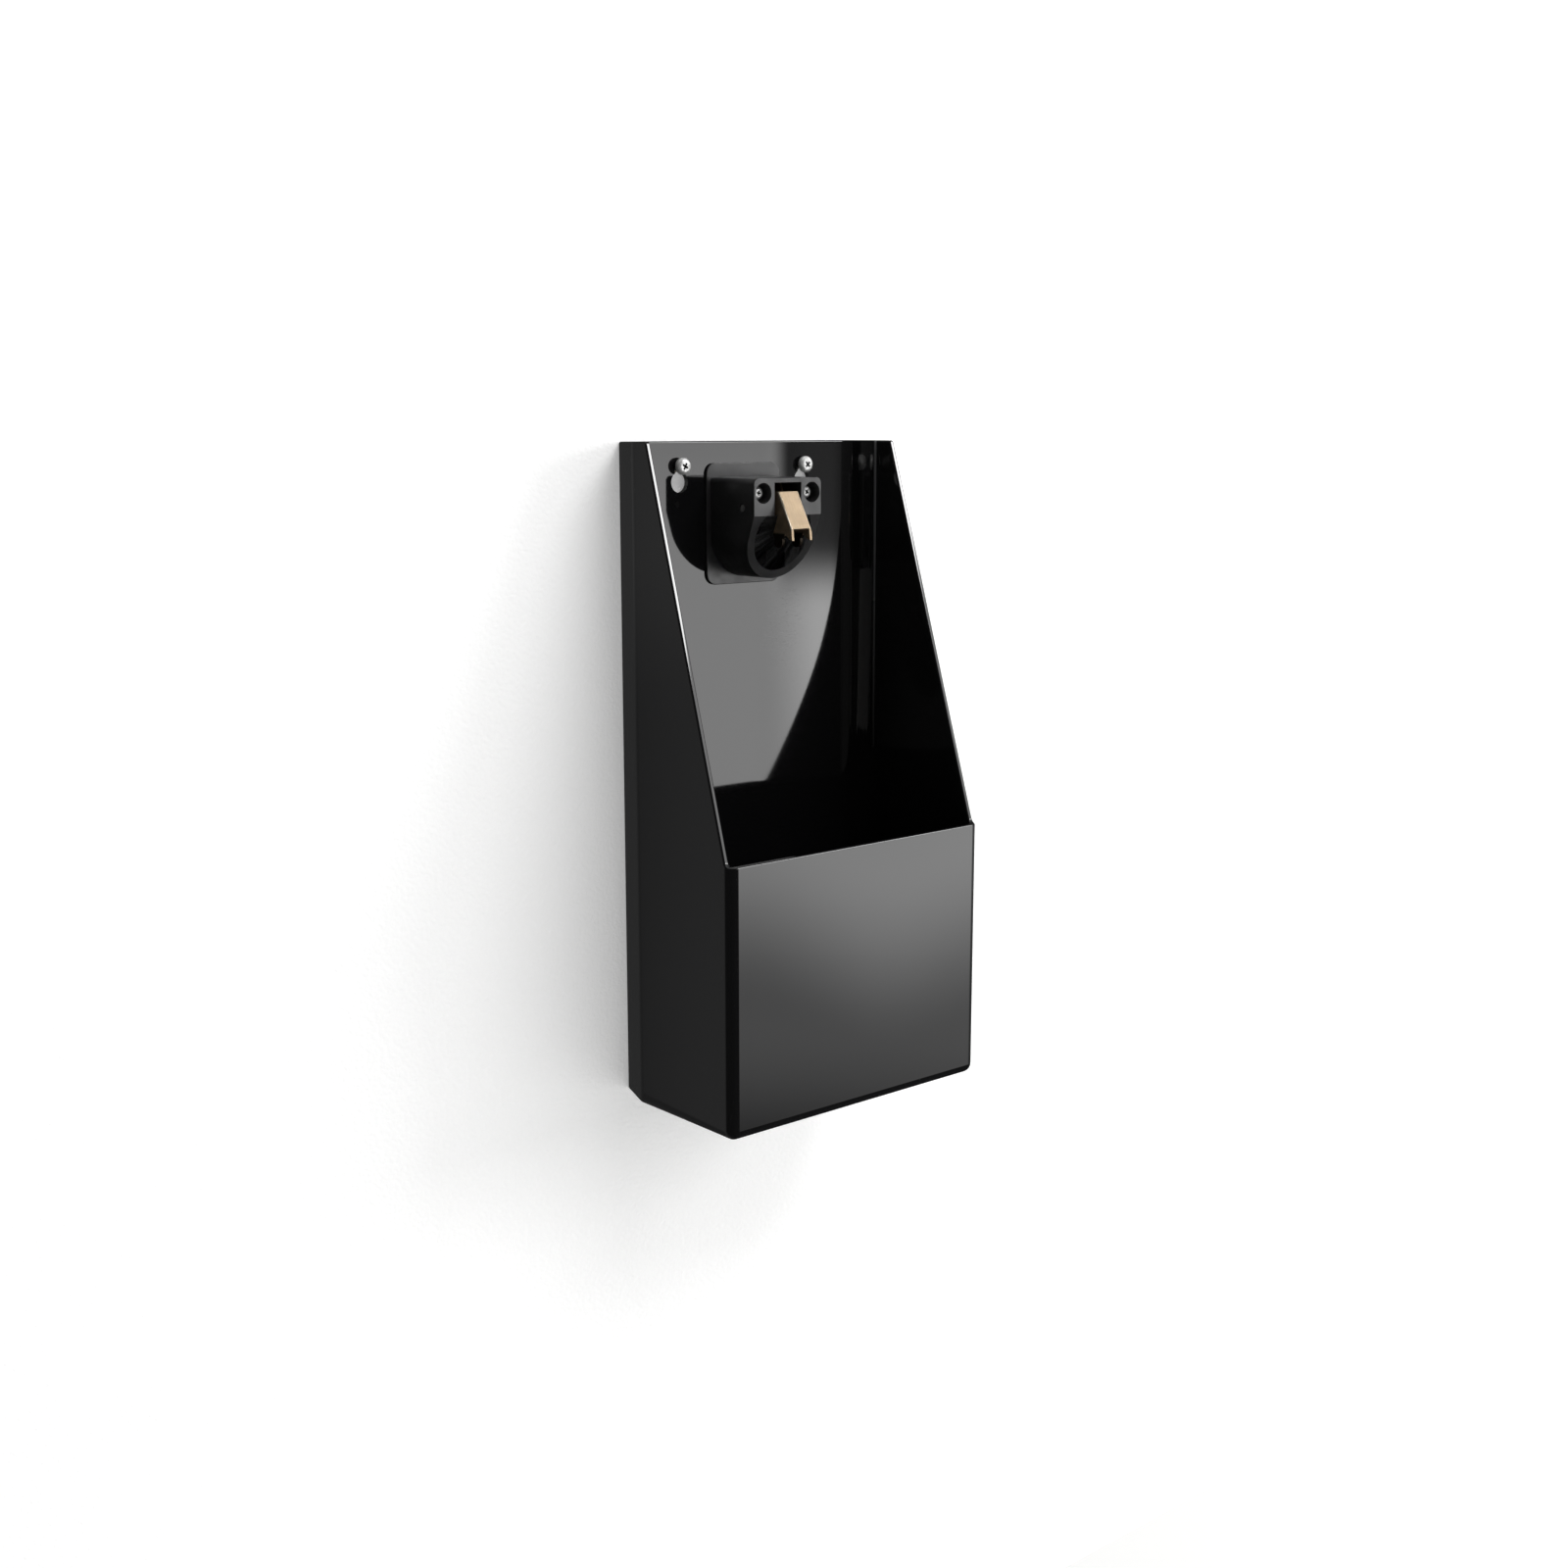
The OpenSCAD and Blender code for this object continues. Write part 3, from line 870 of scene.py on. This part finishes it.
class CATCHER_OT_wall_plugs(bpy.types.Operator):
    """Model one ribbed wall plug and copy it to the other side"""

    bl_idname = "cap_catcher.wall_plugs"
    bl_label = "Wall plugs"

    def execute(self, context):
        colour = context.scene.catcher_finish
        radius, reach = (PLUG_HIGH.z - PLUG_LOW.z) / 2, PLUG_HIGH.y
        ribs, bore, waist = 9, 0.0026, 0.0019
        pitch = (reach - 0.011) / ribs
        profile = [(bore, 0.0), (radius, 0.0), (radius, 0.006)]
        for index in range(ribs):
            start = 0.007 + index * pitch
            profile += [(radius - 0.0006, start), (radius, start + pitch * 0.8)]
        profile += [(radius - 0.001, reach - 0.002), (0.0022, reach), (waist, reach)]
        profile += [(waist, reach - 0.004), (bore, reach - 0.006)]
        plug = trace("wall_plug_r", [(FIX_X + out, y, 0.0) for out, y in profile], (0, 0, 0.0001))
        # only the profile's outline is kept, to be spun into a ring
        pick_faces(
            plug, lambda face: abs(face.normal.z) < 0.5 or face.calc_center_median().z > 0.00005
        )
        bpy.ops.mesh.delete(type="FACE")
        bpy.ops.mesh.select_all(action="SELECT")
        bpy.ops.mesh.spin(
            steps=48, angle=math.radians(360), use_auto_merge=True, center=(FIX_X, 0, 0), axis=(0, 1, 0)
        )
        bpy.ops.mesh.select_all(action="SELECT")
        bpy.ops.mesh.remove_doubles(threshold=2e-6)
        leave()
        self.keep_shell(plug)
        slot = block("slit", (FIX_X - 0.0005, reach - 0.016, -0.006), (FIX_X + 0.0005, reach + 0.001, 0.006))
        combine(plug, slot)
        smooth(plug, 30)
        plastic = nylon(colour.plug)
        left = twin(plug, "wall_plug_l", (-2 * FIX_X, 0, 0))
        hand_over(plug, "wall_plug_right", plastic)
        hand_over(left, "wall_plug_left", plastic)
        return {"FINISHED"}

    @staticmethod
    def keep_shell(plug):
        """Drops the leftover section faces inside the turned ring."""
        pick_faces(plug, lambda face: len(face.verts) > 4)
        bpy.ops.mesh.delete(type="ONLY_FACE")
        bpy.ops.mesh.select_all(action="SELECT")
        bpy.ops.mesh.normals_make_consistent(inside=False)
        leave()


class CATCHER_OT_inserts(bpy.types.Operator):
    """Model one knurled brass insert and copy it to the other side"""

    bl_idname = "cap_catcher.inserts"
    bl_label = "Threaded inserts"

    def execute(self, context):
        colour = context.scene.catcher_finish
        radius, front = INSERT_RADIUS, INSERT_LOW.y
        outline = []
        for tooth in range(36):
            for share, reach in ((0.0, radius), (0.5, radius - 0.00025)):
                angle = math.radians(10 * (tooth + share))
                outline.append((SCREW_X + reach * math.cos(angle), front, SCREW_Z + reach * math.sin(angle)))
        piece = trace("insert_r", outline, (0, INSERT_HIGH.y - front, 0))
        groove = rod("ring", (SCREW_X, front + 0.002, SCREW_Z), (SCREW_X, front + 0.003, SCREW_Z), 0.004, 48)
        drill(groove, SCREW_X, SCREW_Z, radius - 0.0004, 48)
        combine(piece, groove)
        drill(piece, SCREW_X, SCREW_Z, SCREW_RADIUS + FIXED_FIT)
        tidy_mesh(piece)
        soften(piece, 0.00012, 1, 50)
        smooth(piece, 25)
        metal = turned_brass(colour.brass)
        left = twin(piece, "insert_l", (-2 * SCREW_X, 0, 0))
        hand_over(piece, "insert_right", metal)
        hand_over(left, "insert_left", metal)
        return {"FINISHED"}


class CATCHER_OT_opener_base(bpy.types.Operator):
    """Model the rounded flange behind the opener body"""

    bl_idname = "cap_catcher.opener_base"
    bl_label = "Opener flange"

    def execute(self, context):
        colour = context.scene.catcher_finish
        back, front = BASE_HIGH.y, BODY_HIGH.y
        lug_x, lug_half = 0.0156, 0.0032
        flange = block("opener_flange", (BASE_LOW.x, front, BASE_LOW.z), (BASE_HIGH.x, back, BASE_HIGH.z))
        round_edges(flange, lambda a, b: abs(a.y - b.y) > 0.001, 0.006, 10)
        for side in (-1, 1):
            lug = block(
                "lug", (side * lug_x - lug_half, front - 0.004, BASE_LOW.z + 0.024),
                (side * lug_x + lug_half, front + OVERLAP, BASE_LOW.z + 0.038),
            )
            combine(flange, lug, "UNION")
            drill(flange, side * SCREW_X, SCREW_Z, SCREW_RADIUS + LOOSE_FIT, 32, (-0.06, 0.01))
        tidy_mesh(flange)
        soften(flange, 0.0004, 4, 40)
        smooth(flange, 28)
        hand_over(flange, "opener_base", satin_black(colour.opener))
        return {"FINISHED"}


class CATCHER_OT_opener_body(bpy.types.Operator):
    """Model the opener body with its screw pads, claw slot and cap pocket"""

    bl_idname = "cap_catcher.opener_body"
    bl_label = "Opener body"

    def execute(self, context):
        opener = context.scene.opener_sizes
        colour = context.scene.catcher_finish
        low, high = BODY_LOW, BODY_HIGH
        front, back = low.y, high.y
        radius = (high.x - low.x) / 2
        lean = math.tan(opener.seat_lean)
        pad_low = high.z - opener.pad_height
        body = block("opener_body", low, high)

        def along(a, b):
            return abs(a.y - b.y) > 0.01

        # the lower end is a half round, the upper corners are small
        round_edges(body, lambda a, b: along(a, b) and a.z < low.z + NEAR / 2, radius - 0.00005, 24)
        round_edges(body, lambda a, b: along(a, b) and a.z > high.z - NEAR / 2, 0.003, 6)
        slice_off(body, (0, front, pad_low), (0, -1, -lean))
        slot_low, slot_high = low.z + 0.0135, high.z - 0.0023
        half = opener.slot_width / 2
        slot = block("slot", (-half, front - 0.01, slot_low), (half, back - 0.001, slot_high))
        combine(body, slot)
        middle = low.z + radius
        pocket = rod("pocket", (0, front - 0.01, middle), (0, back, middle), opener.pocket_radius, 96)
        floor = front + opener.pocket_depth / math.cos(opener.seat_lean)
        slice_off(pocket, (0, floor, pad_low), (0, 1, lean))
        slice_off(pocket, (0, 0, pad_low), (0, 0, 1))
        combine(body, pocket)
        for side in (-1, 1):
            x = side * SCREW_X
            seat = (front - 0.01, front + opener.bore_depth)
            drill(body, x, SCREW_Z, opener.bore_radius, 64, seat)
            drill(body, x, SCREW_Z, SCREW_RADIUS + LOOSE_FIT, 32, (front - 0.01, back + 0.01))
        drill_across(body, 0.05, PIN_RADIUS + FIXED_FIT)
        tidy_mesh(body)
        soften(body, opener.edge_round, 5, 19)
        smooth(body, 20)
        hand_over(body, "opener_housing", satin_black(colour.opener))
        return {"FINISHED"}


class CATCHER_OT_claw(bpy.types.Operator):
    """Model the folded steel claw with its bent cheeks and pin holes"""

    bl_idname = "cap_catcher.claw"
    bl_label = "Claw"

    def execute(self, context):
        opener = context.scene.opener_sizes
        colour = context.scene.catcher_finish
        half = opener.claw_width / 2
        sheet = opener.claw_sheet
        # the cheeks' outline and lobes in millimetres from the pin
        points = [
            (-10.3, 8.4), (-20.9, -10.6), (-21.6, -16.7), (-19.6, -16.4), (-16, -13.7), (-13.2, -16.4),
            (-8, -18.4), (-4, -8), (4.2, -2), (9.8, 6), (9.8, 12.9), (4, 13.1), (2, 8.4),
        ]
        outline = [(-half, PIN_Y + y / 1000, PIN_Z + z / 1000) for y, z in points]
        claw = trace("claw", outline, (2 * half, 0, 0))
        for y, z, radius in ((-10.4, -17.6, 3.4), (0, 0, 4.4)):
            at = (PIN_Y + y / 1000, PIN_Z + z / 1000)
            combine(claw, rod("lobe", (-half, *at), (half, *at), radius / 1000, 48), "UNION")
        tidy_mesh(claw)
        top, foot = Vector(outline[0]), Vector(outline[1])
        along = (foot - top).normalized()
        inward = Vector((0, -along.z, along.y))
        if inward.y < 0:
            inward = -inward

        def fold(a, b):
            onto = all(abs((v - top).dot(inward)) < TOUCH for v in (a, b))
            return onto and abs(a.x - b.x) < 1e-6

        round_edges(claw, fold, opener.fold_radius, 6)
        # the space between the cheeks, behind and below the web
        start = top - along * 0.03 + inward * sheet
        corners = (
            start, foot + inward * sheet, foot, foot - inward * 0.01,
            foot + along * 0.03 - inward * 0.01, foot + along * 0.03 + inward * 0.05, start + inward * 0.05,
        )
        side = half - sheet
        hollow = trace("hollow", [(-side, *corner.yz) for corner in corners], (2 * side, 0, 0))
        combine(claw, hollow)
        drill_across(claw, 0.02, PIN_RADIUS + RUNNING_FIT)
        tidy_mesh(claw)
        claw.data.materials.append(passivated(colour.claw))
        claw.data.materials.append(edge_highlight_steel(colour.claw_edge_highlight))
        # the rounded edges get the painted highlight material
        soften(claw, 0.00022, 2, 40, 1)
        smooth(claw, 30)
        self.paint_edge_highlights(claw)
        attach(claw, "claw")
        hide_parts("opener_claw")
        return {"FINISHED"}

    @staticmethod
    def paint_edge_highlights(claw):
        """Puts the painted highlight on the sheared faces of the cheeks and the outsides of the folds, but
        not on the feet.
        """
        for face in claw.data.polygons:
            narrow = abs(face.normal.x) < 0.05 and face.area < 6e-6
            across = narrow and abs(abs(face.center.x) - 0.006) < 0.0009
            folded = 0.2 < abs(face.normal.x) < 0.95 and face.normal.y < -0.2
            feet = face.center.z < PIN_Z - 0.0135 and face.center.y > PIN_Y - 0.0160
            # the feet keep the claw steel with its painted shade
            if feet:
                face.material_index = 0
            elif across or folded:
                face.material_index = 1


class CATCHER_OT_pin(bpy.types.Operator):
    """Model the claw's cross pin and its two spacers"""

    bl_idname = "cap_catcher.pin"
    bl_label = "Pin and spacers"

    def execute(self, context):
        pin = rod("claw_pin_rod", (PIN_LOW.x, PIN_Y, PIN_Z), (PIN_HIGH.x, PIN_Y, PIN_Z), PIN_RADIUS, 48)
        soften(pin, 0.0004, 3, 40)
        smooth(pin, 30)
        steel = passivated((0.5, 0.5, 0.49), "pin_steel", 0.5, (0.25, 0.38))
        hand_over(pin, "claw_pin", steel)
        low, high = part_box("pin_spacer_right")
        ring = rod("spacer_r", (low.x, PIN_Y, PIN_Z), (high.x, PIN_Y, PIN_Z), (high.z - low.z) / 2, 48)
        ends = (low.x - 0.01, PIN_Y, PIN_Z), (high.x + 0.01, PIN_Y, PIN_Z)
        combine(ring, rod("bore", *ends, PIN_RADIUS + FIXED_FIT, 48))
        soften(ring, 0.0003, 2, 40)
        smooth(ring, 30)
        dark = nylon((0.03, 0.03, 0.03), "spacer_nylon")
        left = twin(ring, "spacer_l", (-(low.x + high.x), 0, 0))
        hand_over(ring, "pin_spacer_right", dark)
        hand_over(left, "pin_spacer_left", dark)
        return {"FINISHED"}


class CATCHER_OT_opener_screws(bpy.types.Operator):
    """Model one opener screw and copy it to the other side"""

    bl_idname = "cap_catcher.opener_screws"
    bl_label = "Opener screws"

    def execute(self, context):
        opener = context.scene.opener_sizes
        colour = context.scene.catcher_finish
        low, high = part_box("opener_screw_right")
        seat = BODY_LOW.y + opener.bore_depth
        radius = (high.z - low.z) / 2
        head = pan_head("opener_screw_r", SCREW_X, SCREW_Z, low.y, seat, radius, math.radians(35))
        shank = rod("shank", (SCREW_X, seat - 0.0002, SCREW_Z), (SCREW_X, high.y, SCREW_Z), 0.0017, 32)
        combine(head, shank, "UNION")
        smooth(head, 32)
        start, end = seat + 0.012, high.y - 0.0006
        ridge = thread("ridge", SCREW_X, SCREW_Z, start, end, 0.00165, SCREW_RADIUS, 0.0007)
        smooth(ridge, 25)
        join(head, ridge)
        # the opener screws get a darker copy of the zinc, a painted shade for heads set deep in their
        # counterbores
        metal = zinc_plate(scaled(colour.zinc, 0.7), "opener_screw_zinc", SCREW_X, SCREW_Z, low.y, radius)
        left = twin(head, "opener_screw_l", (-2 * SCREW_X, 0, 0), math.radians(-25), (SCREW_X, SCREW_Z))
        hand_over(head, "opener_screw_right", metal)
        hand_over(left, "opener_screw_left", metal)
        return {"FINISHED"}


# ---------------------------------------------------------------- stage


def lamp(name, centre, target, width, height, power):
    """An area lamp that neither the camera nor a reflection sees."""
    data = bpy.data.lights.new(name, "AREA")
    data.shape, data.size, data.size_y, data.energy = "RECTANGLE", width, height, power
    made = bpy.data.objects.new(name, data)
    bpy.context.scene.collection.objects.link(made)
    made.location = centre
    made.rotation_euler = (Vector(target) - Vector(centre)).to_track_quat("-Z", "Y").to_euler()
    made.visible_camera = False
    made.visible_glossy = False


class Dome(Graph):
    """The studio's surroundings, worked out from the direction looked in."""

    def __init__(self, world):
        world.use_nodes = True
        self.tree = world.node_tree
        self.tree.nodes.clear()
        self.place = self.node("ShaderNodeTexCoord").outputs["Generated"]
        x, y, z = self.split()
        ahead = self.times(y, -1.0)
        self.turn = self.times(self.math("ARCTAN2", x, ahead), 180 / math.pi)
        self.rise = self.times(self.math("ARCSINE", z), 180 / math.pi)

    def az(self, low, high, start=0.0, end=1.0):
        """A ramp over degrees to the right of straight ahead."""
        return self.band(self.turn, low, high, start, end)

    def el(self, low, high, start=0.0, end=1.0):
        """A ramp over degrees above level."""
        return self.band(self.rise, low, high, start, end)

    def key(self):
        """The large soft source, front right and a little below eye level, with a ragged lower edge."""
        sag = self.times(self.az(38.5, 43.2), self.az(43.2, 48.0, 1.0, 0.0), 1.4)
        edge = self.band(self.plus(self.rise, sag), -16.8, -11.5, 0.0, 2.85)
        foot = self.el(-22.5, -17.5, 0.0, 1.15)
        near = self.az(31.5, 35.5)
        wide = self.times(self.az(12.0, 18.0), self.el(-12.5, -10.5))
        left = self.math("MAXIMUM", near, wide)
        flare = self.az(20.0, 37.0, 1.85, 1.0)
        notch = self.times(self.az(29.0, 34.3, 0.95, 0.0), self.el(-5.4, -3.4))
        notch = self.math("SUBTRACT", 1.0, notch)
        upward = self.times(self.el(-5.0, 7.0, 1.0, 0.35), self.el(7.0, 14.0, 1.0, 0.0))
        fade = self.times(self.az(47.0, 62.0, 1.0, 0.12), upward)
        return self.times(self.plus(edge, foot), left, flare, notch, fade, self.in_front())

    def lamp(self):
        """A hard strip high on the right that lights edges which lean back."""
        strip = self.times(self.el(20.3, 21.6), self.el(30.0, 34.0, 18.0, 0.0))
        strip = self.times(strip, self.az(30.0, 34.0), self.az(52.0, 57.0, 1.0, 0.0))
        halo = self.times(self.el(9.0, 15.0, 0.0, 3.2), self.el(22.0, 32.0, 1.0, 0.4))
        halo = self.times(halo, self.az(26.0, 33.0), self.az(60.0, 72.0, 1.0, 0.1))
        return self.times(self.plus(strip, halo), self.in_front())

    def in_front(self):
        """Keeps the sources off the far right, where chamfers seen edge-on would catch them."""
        return self.az(80.0, 105.0, 1.0, 0.0)

    def rest(self):
        """The room: dim in front, a little light from the wall side and from above."""
        wall_side = self.times(
            self.plus(self.az(-150.0, -145.0, 0.10, 0.23), self.el(-9.0, -3.0, 0.0, 0.10)),
            self.az(-138.0, -118.0, 1.0, 0.15),
        )
        above = self.el(35.0, 75.0, 0.0, 0.7)
        right = self.times(self.az(70.0, 100.0), self.az(112.0, 130.0, 1.0, 0.0), self.el(-40.0, -10.0), 0.14)
        behind = self.az(150.0, 165.0, 0.0, 0.05)
        return self.plus(wall_side, above, right, behind, 0.015)


class CATCHER_OT_stage(bpy.types.Operator):
    """Set up the wall, the floor, the lights and the camera"""

    bl_idname = "cap_catcher.stage"
    bl_label = "Studio"

    def execute(self, context):
        colour = context.scene.catcher_finish
        scene = context.scene
        self.wall(colour)
        self.floor(colour)
        lamp("overhead", (0.5, -1.2, 1.5), (0.1, 0, -0.2), 1.4, 1.0, 32)
        lamp("side_wash", (1.5, -1.0, 0.2), (0, 0, -0.2), 0.8, 0.8, 18.5)
        lamp("back_wash", (-0.6, 1.6, 0.9), (0, 0, -0.16), 1.2, 1.2, 16)
        lamp("back_side", (1.2, 1.2, 0.3), (0, 0, -0.16), 0.8, 1.2, 8)
        self.sky(scene)
        camera = bpy.data.cameras.new("camera")
        camera.lens, camera.sensor_width = 44.757, 36.0
        camera.clip_start, camera.clip_end = 0.01, 50
        eye = bpy.data.objects.new("camera", camera)
        scene.collection.objects.link(eye)
        eye.location = (-0.67127, -0.83865, 0.02244)
        eye.rotation_euler = (math.radians(90 - 10.49), 0, math.radians(-40.09))
        scene.camera = eye
        scene.view_settings.view_transform = "Standard"
        scene.view_settings.look = "None"
        return {"FINISHED"}

    @staticmethod
    def wall(colour):
        deselect()
        bpy.ops.mesh.primitive_plane_add(size=6, location=(0, 0.0002, 0.9), rotation=(math.radians(90), 0, 0))
        wall = bpy.context.active_object
        wall.name = "wall"
        g = Graph("wall_paint")
        g.set(Base_Color=(*colour.wall, 1.0), Roughness=0.7, Emission_Color=(1.0, 1.0, 1.0, 1.0))
        g.set(Emission_Strength=0.265)
        g.relief(g.noise(420.0, 2.0), 0.5, 0.0008)
        # seen from behind, the wall is clear
        behind = g.node("ShaderNodeNewGeometry").outputs["Backfacing"]
        clear = g.node("ShaderNodeBsdfTransparent").outputs[0]
        g.link(g.blend(behind, g.shader.outputs[0], clear), g.output.inputs["Surface"])
        wall.data.materials.append(g.material)
        wall.visible_shadow = wall.visible_diffuse = wall.visible_glossy = False

    @staticmethod
    def floor(colour):
        deselect()
        bpy.ops.mesh.primitive_plane_add(size=9, location=(0, 0, -0.78))
        floor = bpy.context.active_object
        floor.name = "floor"
        g = Graph("floor_finish")
        g.set(Base_Color=(*colour.floor, 1.0), Roughness=0.6)
        g.relief(g.noise(60.0, 3.0), 0.1, 0.001)
        floor.data.materials.append(g.material)
        floor.visible_glossy = False

    @staticmethod
    def sky(scene):
        world = bpy.data.worlds.new("studio")
        scene.world = world
        dome = Dome(world)
        output = dome.node("ShaderNodeOutputWorld")
        seen, dim, gloss = (dome.node("ShaderNodeBackground") for _ in range(3))
        seen.inputs[0].default_value = (0.95, 0.95, 0.95, 1)
        dim.inputs[0].default_value = (0.3, 0.3, 0.3, 1)
        dome.link(dome.plus(dome.key(), dome.lamp(), dome.rest()), gloss.inputs[1])
        rays = dome.node("ShaderNodeLightPath").outputs
        lit = dome.blend(rays["Is Glossy Ray"], dim.outputs[0], gloss.outputs[0])
        dome.link(dome.blend(rays["Is Camera Ray"], lit, seen.outputs[0]), output.inputs["Surface"])
        world.cycles.sampling_method = "NONE"


class CATCHER_PT_panel(bpy.types.Panel):
    """Lists the steps that build the opener and its catcher"""

    bl_idname = "CATCHER_PT_panel"
    bl_label = "Bottle opener"
    bl_space_type = "VIEW_3D"
    bl_region_type = "UI"
    bl_category = "Cap Catcher"

    def draw(self, context):
        for group in (context.scene.catcher_sizes, context.scene.opener_sizes, context.scene.catcher_finish):
            box = self.layout.box()
            for key in group.__annotations__:
                box.prop(group, key)
        for step in STEPS:
            self.layout.operator(step.bl_idname)


STEPS = (
    CATCHER_OT_shell,
    CATCHER_OT_wall_screws,
    CATCHER_OT_wall_plugs,
    CATCHER_OT_inserts,
    CATCHER_OT_opener_base,
    CATCHER_OT_opener_body,
    CATCHER_OT_claw,
    CATCHER_OT_pin,
    CATCHER_OT_opener_screws,
    CATCHER_OT_stage,
)
GROUPS = (
    (CatcherSizes, "catcher_sizes"),
    (OpenerSizes, "opener_sizes"),
    (FinishColours, "catcher_finish"),
)


def register():
    for group, name in GROUPS:
        bpy.utils.register_class(group)
        setattr(bpy.types.Scene, name, bpy.props.PointerProperty(type=group))
    for step in STEPS:
        bpy.utils.register_class(step)
    bpy.utils.register_class(CATCHER_PT_panel)


def unregister():
    bpy.utils.unregister_class(CATCHER_PT_panel)
    for step in reversed(STEPS):
        bpy.utils.unregister_class(step)
    for group, name in reversed(GROUPS):
        delattr(bpy.types.Scene, name)
        bpy.utils.unregister_class(group)


def main():
    register()
    for step in STEPS:
        space, call = step.bl_idname.split(".")
        getattr(getattr(bpy.ops, space), call)()


if __name__ == "__main__":
    main()
